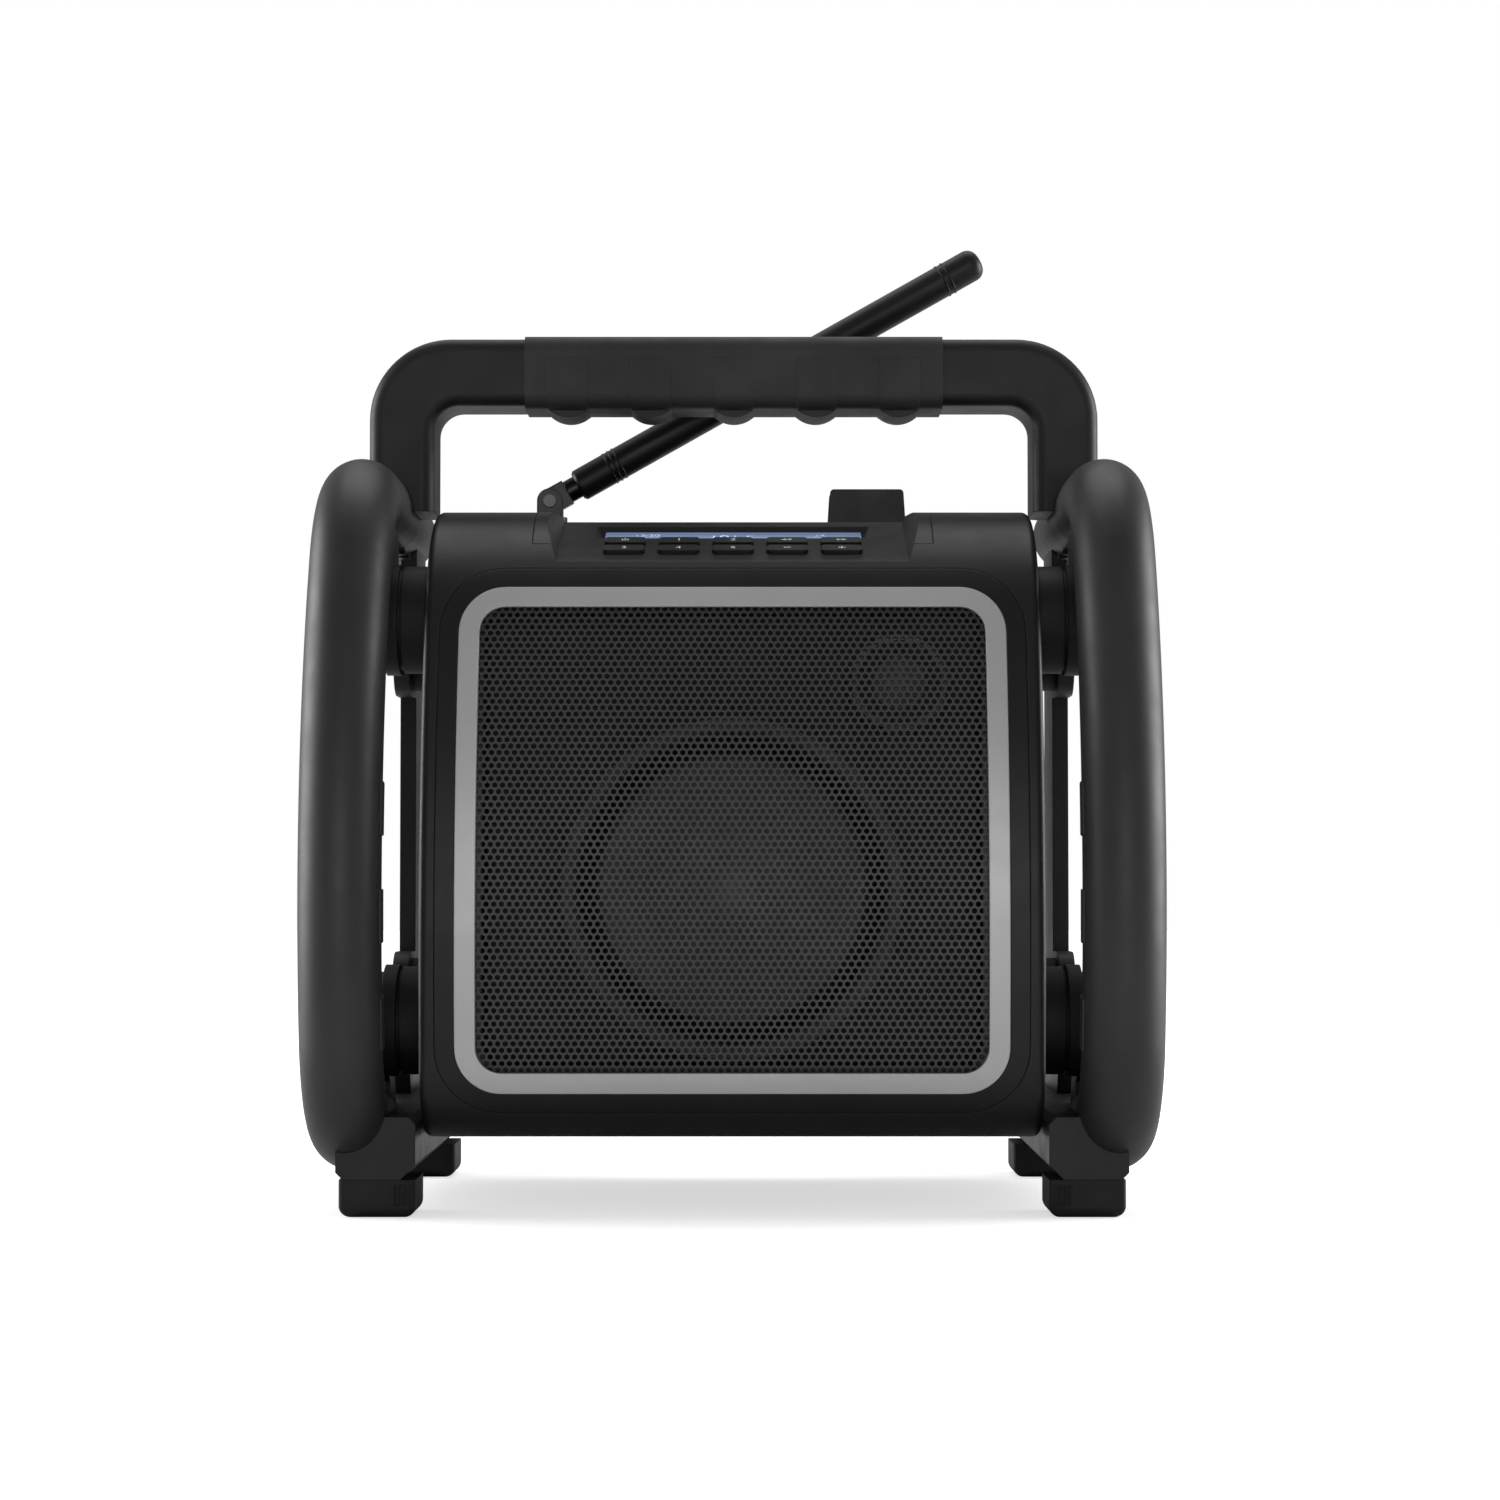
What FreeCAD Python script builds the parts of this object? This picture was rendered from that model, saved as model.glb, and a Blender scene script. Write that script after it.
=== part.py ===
import FreeCAD, Part
import math
import os
import Sketcher
from FreeCAD import Placement, Rotation, Vector

# Jobsite radio: a speaker cabinet hung on rubber mounts inside two roll loops,
# with a carry handle, a folding antenna and a keypad on the sloped top.
# X runs to the right seen from the front, Y to the rear and Z up, in millimetres.
# The origin is on the ground, under the middle of the radio.

SIZES = {
    # Cabinet
    "case_width": 212.0,
    "case_bottom": 25.5,
    "case_top": 246.0,
    "rear_top": 244.0,
    "case_split": 12.0,
    "case_rear": 85.0,
    "face_radius": 330.0,
    "face_reach": 85.0,
    "face_height": 98.0,
    "front_low_radius": 28.0,
    "front_top_radius": 60.0,
    "rear_radius": 12.0,
    "end_rounding": 3.0,
    # Speaker chamber
    "chamber_half": 92.0,
    "chamber_low": 42.0,
    "chamber_high": 212.0,
    "chamber_corner": 12.0,
    "chamber_rear": 40.0,
    # Front frame, trim ring and grille
    "frame_half": 100.5,
    "frame_low": 35.0,
    "frame_high": 221.6,
    "frame_corner": 22.5,
    "frame_border": 6.7,
    "trim_border": 7.0,
    "trim_depth": 3.2,
    "grille_sheet": 1.2,
    "grille_lap": 3.4,
    "seat_lip": 2.0,
    "piece_gap": 0.15,
    # Baffle and loudspeakers
    "baffle_front": -52.0,
    "baffle_thickness": 5.0,
    "woofer_height": 111.0,
    "woofer_radius": 58.4,
    "woofer_face": -68.0,
    "woofer_flange": 2.5,
    "surround_middle": 49.5,
    "surround_roll": 5.5,
    "surround_skin": 1.0,
    "cone_depth": 20.0,
    "cone_throat": 12.5,
    "dust_cap_rise": 5.0,
    "basket_depth": 36.0,
    "basket_throat": 31.0,
    "magnet_radius": 34.0,
    "magnet_depth": 20.0,
    "tweeter_x": 57.4,
    "tweeter_height": 182.0,
    "tweeter_radius": 16.5,
    "tweeter_face": -64.0,
    "tweeter_flange": 4.0,
    "tweeter_motor": 12.0,
    "tweeter_motor_depth": 15.0,
    "dome_radius": 9.0,
    "dome_rise": 3.0,
    "boss_margin": 1.6,
    # Control panel on the sloped top
    "panel_front_y": -49.0,
    "panel_front_z": 227.0,
    "ridge_y": 1.0,
    "valley_half": 70.0,
    "floor_half": 61.2,
    "facet_run": 0.47,
    "panel_thickness": 5.0,
    "panel_lip": 0.5,
    "board_bay_depth": 11.0,
    "board_bay_half": 56.0,
    "button_pitch": 19.1,
    "button_width": 14.0,
    "button_length": 8.0,
    "button_corner": 1.4,
    "button_proud": 1.5,
    "button_gap": 0.2,
    "button_flange": 0.7,
    "button_travel": 0.8,
    "front_row": 6.6,
    "rear_row": 18.6,
    "keypad_thickness": 1.6,
    "display_front": 27.0,
    "display_rear": 45.5,
    "display_half": 49.0,
    "display_slant": 4.5,
    "display_recess": 3.5,
    "window_thickness": 1.4,
    "module_depth": 4.0,
    # Roll loops
    "loop_x": 131.0,
    "tube_radius": 14.0,
    "bow_radius": 250.0,
    "bow_reach": 96.0,
    "bow_height": 111.0,
    "upper_axis": 249.0,
    "upper_elbow": 45.0,
    "lower_axis": 28.0,
    "lower_elbow": 40.0,
    "upper_seam": -4.0,
    "lower_seam": -30.0,
    "rail_radius": 13.5,
    "rail_rear": 110.0,
    "rail_end_rounding": 8.0,
    "beam_inner": 107.0,
    "beam_outer": 134.0,
    "beam_top": 34.0,
    "beam_front": -80.0,
    "beam_rear": 108.0,
    "beam_chamfer": 5.0,
    # Brackets, side plates and rubber mounts
    "bracket_inner": 121.0,
    "bracket_thickness": 6.0,
    "bracket_radius": 17.0,
    "strap_front_reach": 11.9,
    "strap_rear_reach": 15.3,
    "strap_rear_drop": 6.8,
    "strap_heel_drop": 23.8,
    "strap_width": 19.55,
    "strap_setback": 2.0,
    "strap_overlap": 1.0,
    "leg_width": 22.1,
    "leg_rear_reach": 16.15,
    "leg_rear_rise": 5.1,
    "leg_front_reach": 13.6,
    "leg_front_drop": 9.35,
    "mount_front_y": -42.0,
    "mount_rear_y": 55.0,
    "mount_low": 65.0,
    "mount_high": 205.0,
    "mount_radius": 18.8,
    "mount_flange_radius": 19.5,
    "mount_flange": 5.0,
    "mount_groove": 1.2,
    "bolt_radius": 3.0,
    "bolt_clearance": 0.1,
    "bolt_head_radius": 5.0,
    "bolt_head": 3.5,
    "plate_front": 60.0,
    "plate_rear": 95.0,
    "plate_pad": 22.0,
    "plate_corner": 12.0,
    # Feet
    "foot_height": 12.8,
    "foot_length": 30.0,
    "foot_front": -80.0,
    "foot_rear": 74.5,
    "foot_outer": 133.0,
    "foot_rounding": 4.0,
    "foot_corner": 1.6,
    # Carry handle
    "handle_outer": 134.0,
    "handle_leg": 24.0,
    "handle_bar_low": 288.3,
    "handle_bar_high": 313.0,
    "handle_front": 10.0,
    "handle_rear": 42.0,
    "handle_outer_corner": 30.0,
    "handle_inner_corner": 9.0,
    "handle_rounding": 5.0,
    "grip_half": 76.8,
    "grip_skin": 1.0,
    "ridge_count": 5,
    "ridge_pitch": 30.5,
    "ridge_width": 15.0,
    "ridge_drop": 3.0,
    "handle_bolt_inset": 5.0,
    # Antenna
    "antenna_x": -69.7,
    "antenna_y": 52.0,
    "antenna_pivot": 257.0,
    "antenna_angle": 29.5,
    "antenna_length": 187.0,
    "antenna_radius": 6.1,
    "antenna_neck": 4.3,
    "antenna_sleeve": 12.0,
    "antenna_cap": 13.6,
    "knuckle_radius": 4.8,
    "knuckle_half": 2.2,
    "fork_gap": 0.1,
    "fork_cheek": 2.0,
    "swivel_radius": 8.5,
    "swivel_disc": 3.5,
    "swivel_neck_top": 251.0,
    "pivot_pin": 1.6,
    "pivot_head": 2.6,
    "pivot_head_height": 1.2,
    # Antenna clip
    "clip_x": 50.0,
    "clip_width": 29.7,
    "clip_top": 261.0,
    "clip_wall": 1.6,
    "clip_gap": 0.35,
    "clip_corner": 1.5,
    # Battery bay and door
    "bay_half": 56.0,
    "bay_low": 60.0,
    "bay_high": 150.0,
    "bay_depth": 40.0,
    "door_thickness": 3.0,
    "door_lap": 4.0,
    "door_gap": 0.5,
    "hinge_radius": 3.0,
    "hinge_gap": 0.3,
    "hinge_leaf": 9.0,
    "hinge_web": 4.05,
    "hinge_pin": 1.2,
    "hinge_clearance": 0.08,
    "latch_half": 9.0,
    "latch_height": 12.0,
    "latch_travel": 4.0,
    "groove_pitch": 3.0,
    "groove_width": 1.0,
    "battery_gap": 1.0,
    # Socket bay
    "socket_half": 30.0,
    "socket_low": 172.0,
    "socket_high": 196.0,
    "socket_depth": 14.0,
    "socket_panel": 3.0,
    "socket_spacing": 15.0,
    "inlet_radius": 3.2,
    "jack_radius": 2.3,
    "collar_wall": 1.5,
    "collar_height": 4.0,
    "cover_thickness": 2.2,
    # Boards and screws
    "board_thickness": 1.6,
    "amp_half": 60.0,
    "amp_low": 160.0,
    "amp_high": 205.0,
    "screw_x": 96.0,
    "screw_low": 34.0,
    "screw_high": 230.0,
    "screw_head": 3.6,
    "screw_shank": 1.8,
    "screw_sink": 4.0,
}

AXES = {"x": Vector(1, 0, 0), "y": Vector(0, 1, 0), "z": Vector(0, 0, 1)}
FAR = 400.0
doc = FreeCAD.newDocument("jobsite_radio")


class Size:
    """A length or an angle, kept both as a number and as an expression on the sheet."""

    def __init__(self, value, text):
        self.value = value
        self.text = text

    def __add__(self, other):
        other = as_size(other)
        return Size(self.value + other.value, f"({self.text} + {other.text})")

    def __sub__(self, other):
        other = as_size(other)
        return Size(self.value - other.value, f"({self.text} - {other.text})")

    def __mul__(self, other):
        other = as_size(other)
        return Size(self.value * other.value, f"({self.text} * {other.text})")

    def __truediv__(self, other):
        other = as_size(other)
        return Size(self.value / other.value, f"({self.text} / {other.text})")

    def __radd__(self, other):
        return as_size(other) + self

    def __rsub__(self, other):
        return as_size(other) - self

    def __rmul__(self, other):
        return as_size(other) * self

    def __neg__(self):
        return Size(-self.value, f"(0 - {self.text})")


def as_size(value):
    """Read a plain number as a size."""
    if isinstance(value, Size):
        return value
    return Size(float(value), f"({float(value)})")


def root(size):
    """The square root of a size."""
    return Size(math.sqrt(size.value), f"sqrt({size.text})")


def sine(size):
    """The sine of an angle in degrees."""
    return Size(math.sin(math.radians(size.value)), f"sin({size.text})")


def cosine(size):
    """The cosine of an angle in degrees."""
    return Size(math.cos(math.radians(size.value)), f"cos({size.text})")


def slope_angle(rise, run):
    """The angle in degrees, as a bare number, of a rise over a run."""
    angle = math.degrees(math.atan2(rise.value, run.value))
    return Size(angle, f"(atan({rise.text} / {run.text}) / 1 deg)")


def bind(item, path, size):
    """Tie one property of a document object to the sheet."""
    item.setExpression(path, as_size(size).text)


def make_sheet():
    """Write every driving size to the spreadsheet and give back named sizes."""
    sheet = doc.addObject("Spreadsheet::Sheet", "Sizes")
    named = {}
    for row, (name, value) in enumerate(SIZES.items(), start=1):
        sheet.set(f"A{row}", name)
        sheet.set(f"B{row}", str(value))
        sheet.setAlias(f"B{row}", name)
        named[name] = Size(float(value), f"Sizes.{name}")
    doc.recompute()
    return named


class Named:
    """Lets a size be read as S.name."""

    def __init__(self, named):
        self.__dict__.update(named)


S = Named(make_sheet())


# Outlines


class Outline:
    """A closed line through points (a, b) or (a, b, radius).

    A radius bends the edge that leaves its point: positive turns left, negative right.
    """

    def __init__(self, points):
        self.points = [tuple(as_size(number) for number in point) for point in points]

    def draw(self, sketch):
        count = len(self.points)
        ends = [self.draw_edge(sketch, self.points[i], self.points[(i + 1) % count])
                for i in range(count)]
        for i in range(count):
            before = ends[i - 1][1]
            start = ends[i][0]
            sketch.addConstraint(Sketcher.Constraint("Coincident", *before, *start))
            pin_point(sketch, start, self.points[i])

    def draw_edge(self, sketch, start, finish):
        """Add one edge and give the sketch references of its two ends."""
        a = Vector(start[0].value, start[1].value, 0)
        b = Vector(finish[0].value, finish[1].value, 0)
        if len(start) == 2:
            edge = sketch.addGeometry(Part.LineSegment(a, b), False)
            return (edge, 1), (edge, 2)
        radius = start[2]
        turns_left = radius.value > 0
        centre = arc_centre(a, b, radius.value)
        first, last = (a, b) if turns_left else (b, a)
        circle = Part.Circle(centre, AXES["z"], abs(radius.value))
        arc = Part.ArcOfCircle(circle, angle_of(first - centre), angle_of(last - centre))
        edge = sketch.addGeometry(arc, False)
        bind_constraint(sketch, radius if turns_left else -radius, "Radius", edge)
        return ((edge, 1), (edge, 2)) if turns_left else ((edge, 2), (edge, 1))


class Path(Outline):
    """An open line with the same points as an outline."""

    def draw(self, sketch):
        ends = [self.draw_edge(sketch, self.points[i], self.points[i + 1])
                for i in range(len(self.points) - 1)]
        for before, after in zip(ends, ends[1:]):
            sketch.addConstraint(Sketcher.Constraint("Coincident", *before[1], *after[0]))
        for end, point in zip(ends, self.points):
            pin_point(sketch, end[0], point)
        pin_point(sketch, ends[-1][1], self.points[-1])


class Disc:
    """A circle."""

    def __init__(self, a, b, radius):
        self.a = as_size(a)
        self.b = as_size(b)
        self.radius = as_size(radius)

    def draw(self, sketch):
        centre = Vector(self.a.value, self.b.value, 0)
        edge = sketch.addGeometry(Part.Circle(centre, AXES["z"], self.radius.value), False)
        pin_point(sketch, (edge, 3), (self.a, self.b))
        bind_constraint(sketch, self.radius, "Radius", edge)


def rectangle(low_a, low_b, high_a, high_b, corner=None):
    """A rectangle, with round corners where a corner radius is given."""
    if corner is None:
        return Outline([(low_a, low_b), (high_a, low_b), (high_a, high_b), (low_a, high_b)])
    r = as_size(corner)
    return Outline([
        (low_a + r, low_b), (high_a - r, low_b, r),
        (high_a, low_b + r), (high_a, high_b - r, r),
        (high_a - r, high_b), (low_a + r, high_b, r),
        (low_a, high_b - r), (low_a, low_b + r, r),
    ])


def arc_centre(a, b, radius):
    """Centre of the short arc from a to b, on the left for a positive radius."""
    chord = b - a
    half = chord.Length / 2
    reach = math.sqrt(max(radius * radius - half * half, 0.0))
    left = Vector(-chord.y, chord.x, 0).normalize()
    return (a + b) / 2 + left * math.copysign(reach, radius)


def angle_of(vector):
    return math.atan2(vector.y, vector.x)


def pin_point(sketch, reference, point):
    """Fix a sketch point at a pair of sizes."""
    bind_constraint(sketch, point[0], "DistanceX", -1, 1, *reference)
    bind_constraint(sketch, point[1], "DistanceY", -1, 1, *reference)


def bind_constraint(sketch, size, kind, *references):
    number = sketch.addConstraint(Sketcher.Constraint(kind, *references, size.value))
    bind(sketch, f"Constraints[{number}]", size)


# Pieces


class Piece:
    """One piece of the radio: a body that sketches and features build up."""

    def __init__(self, name):
        self.body = doc.addObject("PartDesign::Body", name)
        self.body.Label = name

    def sketch(self, plane, offset, shapes):
        """Draw shapes on a plane square to Z (top), Y (front) or X (side), or on the sloped panel."""
        sketch = self.body.newObject("Sketcher::SketchObject", "Sketch")
        roles = {"top": "XY_Plane", "front": "XZ_Plane", "side": "YZ_Plane",
                 "panel": "XY_Plane", "slope": "XZ_Plane"}
        origin = self.body.Origin.OriginFeatures
        sketch.AttachmentSupport = [next(f for f in origin if f.Role == roles[plane])]
        sketch.MapMode = "FlatFace"
        self.place_sketch(sketch, plane, as_size(offset))
        for shape in shapes if isinstance(shapes, list) else [shapes]:
            shape.draw(sketch)
        return sketch

    def place_sketch(self, sketch, plane, offset):
        base = {"top": (0, 0, offset), "front": (0, 0, -offset), "side": (0, 0, offset),
                "panel": panel_point(0, offset), "slope": (0, S.panel_front_z, -S.panel_front_y)}
        turned = plane in ("panel", "slope")
        angle = PANEL_SLOPE.value if turned else 0
        sketch.AttachmentOffset = Placement(Vector(), Rotation(AXES["x"], angle))
        for letter, size in zip("xyz", base[plane]):
            bind(sketch, f"AttachmentOffset.Base.{letter}", size)
        if turned:
            bind(sketch, "AttachmentOffset.Rotation.Angle", PANEL_SLOPE)

    def add(self, plane, shapes, low, high):
        """Extrude shapes from one coordinate to a higher one, square to the plane."""
        start = high if plane == "front" else low
        feature = self.body.newObject("PartDesign::Pad", "Pad")
        return self.extrude(feature, plane, shapes, start, as_size(high) - low)

    def cut(self, plane, shapes, low, high):
        """Remove an extrusion that runs from one coordinate to a higher one."""
        start = low if plane == "front" else high
        feature = self.body.newObject("PartDesign::Pocket", "Pocket")
        return self.extrude(feature, plane, shapes, start, as_size(high) - low)

    def extrude(self, feature, plane, shapes, start, length):
        feature.Profile = self.sketch(plane, start, shapes)
        bind(feature, "Length", length)
        return self.finish(feature)

    def cut_through(self, plane, shapes):
        """Remove an extrusion that runs right through the piece both ways."""
        feature = self.body.newObject("PartDesign::Pocket", "Pocket")
        feature.Profile = self.sketch(plane, 0, shapes)
        feature.SideType = "Symmetric"
        bind(feature, "Length", FAR * 2)
        return self.finish(feature)

    def turn(self, plane, offset, shape, axis_height, remove=False):
        """Revolve an outline about a line along the plane's first direction."""
        kind = "PartDesign::Groove" if remove else "PartDesign::Revolution"
        feature = self.body.newObject(kind, "Turn")
        sketch = self.sketch(plane, offset, shape)
        height = as_size(axis_height)
        ends = Vector(0, height.value, 0), Vector(10, height.value, 0)
        line = sketch.addGeometry(Part.LineSegment(*ends), True)
        pin_point(sketch, (line, 1), (as_size(0), height))
        pin_point(sketch, (line, 2), (as_size(10), height))
        feature.Profile = sketch
        feature.ReferenceAxis = (sketch, ["Axis0"])
        feature.Angle = 360
        return self.finish(feature)

    def loft_cut(self, plane, low_shape, low, high_shape, high):
        """Remove a tapered block between two outlines."""
        feature = self.body.newObject("PartDesign::SubtractiveLoft", "Taper")
        feature.Profile = self.sketch(plane, low, low_shape)
        feature.Sections = [self.sketch(plane, high, high_shape)]
        feature.Ruled = True
        return self.finish(feature)

    def pipe(self, plane, offset, path, section_plane, section_offset, section):
        """Sweep a section along a path."""
        feature = self.body.newObject("PartDesign::AdditivePipe", "Pipe")
        feature.Spine = self.sketch(plane, offset, path)
        feature.Profile = self.sketch(section_plane, section_offset, section)
        return self.finish(feature)

    def round(self, radius, *tests):
        """Fillet the edges that pass every test."""
        return self.dress("PartDesign::Fillet", "Radius", radius, tests)

    def chamfer(self, width, *tests):
        """Chamfer the edges that pass every test."""
        return self.dress("PartDesign::Chamfer", "Size", width, tests)

    def dress(self, kind, size_name, size, tests):
        doc.recompute()
        base = self.body.Tip
        names = [f"Edge{i}" for i, edge in enumerate(base.Shape.Edges, start=1)
                 if all(test(edge) for test in tests)]
        if not names:
            raise RuntimeError(f"{self.body.Label} has no edge to dress")
        feature = self.body.newObject(kind, "Dress")
        feature.Base = (base, names)
        bind(feature, size_name, size)
        return self.finish(feature)

    def repeat(self, feature, axis_role, length, count):
        """Repeat a feature along an origin axis, over a length."""
        doc.recompute()
        pattern = self.body.newObject("PartDesign::LinearPattern", "Row")
        pattern.Originals = [feature]
        axis = next(f for f in self.body.Origin.OriginFeatures if f.Role == axis_role)
        pattern.Direction = (axis, [""])
        bind(pattern, "Length", length)
        bind(pattern, "Occurrences", count)
        return self.finish(pattern)

    def finish(self, feature):
        self.body.Tip = feature
        return feature


def lies_at(axis, size):
    """An edge that stays at one coordinate."""
    value = as_size(size).value

    def test(edge):
        box = edge.BoundBox
        low = getattr(box, f"{axis.upper()}Min")
        high = getattr(box, f"{axis.upper()}Max")
        return abs(low - value) < 0.01 and abs(high - value) < 0.01
    return test


def not_at(axis, size):
    """An edge that does not stay at one coordinate."""
    test = lies_at(axis, size)
    return lambda edge: not test(edge)


def any_of(*tests):
    return lambda edge: any(test(edge) for test in tests)


def sided(side, low, high):
    """The same span on the left or the right side of the radio."""
    return (low, high) if side > 0 else (-as_size(high), -as_size(low))


# Shared geometry

RIDGE_Z = S.rear_top
PANEL_RUN = S.ridge_y - S.panel_front_y
PANEL_RISE = RIDGE_Z - S.panel_front_z
PANEL_SLOPE = slope_angle(PANEL_RISE, PANEL_RUN)
PANEL_LENGTH = root(PANEL_RUN * PANEL_RUN + PANEL_RISE * PANEL_RISE)
CASE_HALF = S.case_width / 2
WINDOW_TOP = -S.display_recess
PAD_TOP = -(S.panel_thickness + S.button_flange + S.button_travel + S.button_gap)


def panel_point(along, above):
    """A point on the sloped panel: along the slope and above its surface."""
    above = as_size(above)
    along = as_size(along)
    y = S.panel_front_y + along * cosine(PANEL_SLOPE) - above * sine(PANEL_SLOPE)
    z = S.panel_front_z + along * sine(PANEL_SLOPE) + above * cosine(PANEL_SLOPE)
    return 0, y, z


def tangent_arc(centre, radius, small_radius, small_z):
    """Centre of a small arc inside a large one, and the point where the two meet."""
    reach = radius - small_radius
    rise = small_z - centre[1]
    small_y = centre[0] - root(reach * reach - rise * rise)
    meet_y = centre[0] + (small_y - centre[0]) * radius / reach
    meet_z = centre[1] + rise * radius / reach
    return small_y, meet_y, meet_z


class FaceProfile:
    """The bowed front of the cabinet seen from the side, set back by an even depth."""

    def __init__(self, depth):
        depth = as_size(depth)
        centre = (S.face_radius - S.face_reach, S.face_height)
        low_z = S.case_bottom + S.front_low_radius
        top_z = S.case_top - S.front_top_radius
        self.low_y, _, _ = tangent_arc(centre, S.face_radius, S.front_low_radius, low_z)
        self.top_y, _, _ = tangent_arc(centre, S.face_radius, S.front_top_radius, top_z)
        self.face = S.face_radius - depth
        self.low_radius = S.front_low_radius - depth
        self.top_radius = S.front_top_radius - depth
        self.low = self.meet(centre, self.low_y, low_z, S.face_radius - S.front_low_radius)
        self.high = self.meet(centre, self.top_y, top_z, S.face_radius - S.front_top_radius)
        self.bottom = S.case_bottom + depth
        self.top = S.case_top - depth

    def meet(self, centre, small_y, small_z, reach):
        """The point where the face arc runs into a corner arc."""
        y = centre[0] + (small_y - centre[0]) * self.face / reach
        z = centre[1] + (small_z - centre[1]) * self.face / reach
        return y, z

    def solid(self, rear):
        """The cabinet side from its bowed front back to a flat rear."""
        return Outline([
            (self.low_y, self.bottom), (rear, self.bottom), (rear, self.top),
            (self.top_y, self.top, self.top_radius),
            (*self.high, self.face), (*self.low, self.low_radius),
        ])

    def air(self):
        """Everything in front of the bowed face."""
        return Outline([
            (self.low_y, self.bottom, -self.low_radius),
            (*self.low, -self.face), (*self.high, -self.top_radius),
            (self.top_y, self.top), (self.top_y, FAR), (-FAR, FAR), (-FAR, -FAR),
            (self.low_y, -FAR),
        ])


def frame_rectangle(inset):
    """A round-cornered rectangle that runs inside the front frame's edge."""
    inset = as_size(inset)
    return rectangle(-S.frame_half + inset, S.frame_low + inset, S.frame_half - inset,
                     S.frame_high - inset, S.frame_corner - inset)


# Cabinet shells


def front_shell():
    """The front half of the cabinet, with the seat of the frame, the chamber and the valley."""
    piece = Piece("front_shell")
    piece.add("side", FaceProfile(0).solid(S.case_split), -CASE_HALF, CASE_HALF)
    ends = any_of(lies_at("x", CASE_HALF), lies_at("x", -CASE_HALF))
    piece.round(S.end_rounding, ends, not_at("y", S.case_split))
    piece.cut("front", frame_rectangle(-S.piece_gap), -FAR, BAFFLE_BACK)
    piece.cut("front", chamber_outline(), -FAR, S.case_split)
    piece.cut_through("slope", valley_outline())
    seat = rectangle(-S.valley_half, S.panel_lip, S.valley_half, PANEL_LENGTH)
    piece.cut("panel", seat, -S.panel_thickness, FAR)
    behind = rectangle(-S.valley_half, S.ridge_y - S.end_rounding, S.valley_half,
                       S.case_split + 1)
    piece.cut("top", behind, S.rear_top, FAR)
    bay = rectangle(-S.board_bay_half, S.panel_lip + 1, S.board_bay_half,
                    S.display_rear + S.display_slant)
    piece.cut("panel", bay, -S.board_bay_depth, FAR)
    return piece.body


def valley_outline():
    """The section of the valley: a flat floor between two slanted facets."""
    rise = S.valley_half
    run = S.facet_run * rise
    return Outline([(-S.floor_half, 0), (S.floor_half, 0),
                    (S.floor_half + run, rise), (-S.floor_half - run, rise)])


def chamber_outline():
    return rectangle(-S.chamber_half, S.chamber_low, S.chamber_half, S.chamber_high,
                     S.chamber_corner)


def rear_shell():
    """The rear half, with the battery bay, the socket bay and the screw holes."""
    piece = Piece("rear_shell")
    r = S.rear_radius
    side = Outline([
        (S.case_split, S.case_bottom), (S.case_rear - r, S.case_bottom, r),
        (S.case_rear, S.case_bottom + r), (S.case_rear, S.rear_top - r, r),
        (S.case_rear - r, S.rear_top), (S.case_split, S.rear_top),
    ])
    piece.add("side", side, -CASE_HALF, CASE_HALF)
    ends = any_of(lies_at("x", CASE_HALF), lies_at("x", -CASE_HALF))
    piece.round(S.end_rounding, ends, not_at("y", S.case_split))
    piece.cut("front", chamber_outline(), S.case_split - 1, S.chamber_rear)
    bay = rectangle(-S.bay_half, S.bay_low, S.bay_half, S.bay_high)
    piece.cut("front", bay, S.case_rear - S.bay_depth, FAR)
    piece.cut("front", door_rectangle(-S.door_gap), S.case_rear - S.door_thickness, FAR)
    sockets = rectangle(-S.socket_half, S.socket_low, S.socket_half, S.socket_high)
    piece.cut("front", sockets, S.case_rear - S.socket_depth, FAR)
    piece.cut("front", cover_rectangle(-S.door_gap), S.case_rear - S.cover_thickness, FAR)
    piece.cut("front", screw_discs(S.screw_shank + S.bolt_clearance), S.case_split - 1, FAR)
    piece.cut("front", screw_discs(S.screw_head + S.bolt_clearance),
              S.case_rear - S.screw_sink, FAR)
    door_hinge().case_side(piece)
    cover_hinge().case_side(piece)
    return piece.body


def screw_discs(radius):
    return [Disc(side * S.screw_x, height, radius)
            for side in (-1, 1) for height in (S.screw_low, S.screw_high)]


def case_screws():
    """Four screws that hold the rear shell, sunk in its rear face."""
    piece = Piece("case_screws")
    head_front = S.case_rear - S.screw_sink
    piece.add("front", screw_discs(S.screw_head), head_front, head_front + S.bolt_head / 2)
    piece.add("front", screw_discs(S.screw_shank), S.case_split + 1, head_front)
    return piece.body


# Front frame, trim and grille

TRIM_INSET = S.frame_border
INNER_INSET = S.frame_border + S.trim_border
GRILLE_INSET = INNER_INSET - S.grille_lap
LIP_INSET = INNER_INSET + S.seat_lip
GRILLE_BACK = S.trim_depth + S.grille_sheet
BAFFLE_BACK = S.baffle_front + S.baffle_thickness


def front_bezel():
    """The black frame: a border flush with the cabinet, and two steps for trim and grille."""
    piece = Piece("front_bezel")
    steps = [(LIP_INSET, GRILLE_INSET - S.piece_gap, GRILLE_BACK),
             (LIP_INSET, TRIM_INSET - S.piece_gap, S.trim_depth),
             (LIP_INSET, 0, 0)]
    hole = frame_rectangle(LIP_INSET)
    inner, outer, depth = steps[0]
    piece.add("front", [frame_rectangle(outer), hole], -FAR / 2, S.baffle_front)
    piece.cut_through("side", FaceProfile(depth).air())
    for (_, before, _), (_, outer, depth) in zip(steps, steps[1:]):
        piece.add("front", [frame_rectangle(outer), frame_rectangle(before)],
                  -FAR / 2, S.baffle_front)
        piece.cut_through("side", FaceProfile(depth).air())
    return piece.body


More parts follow.
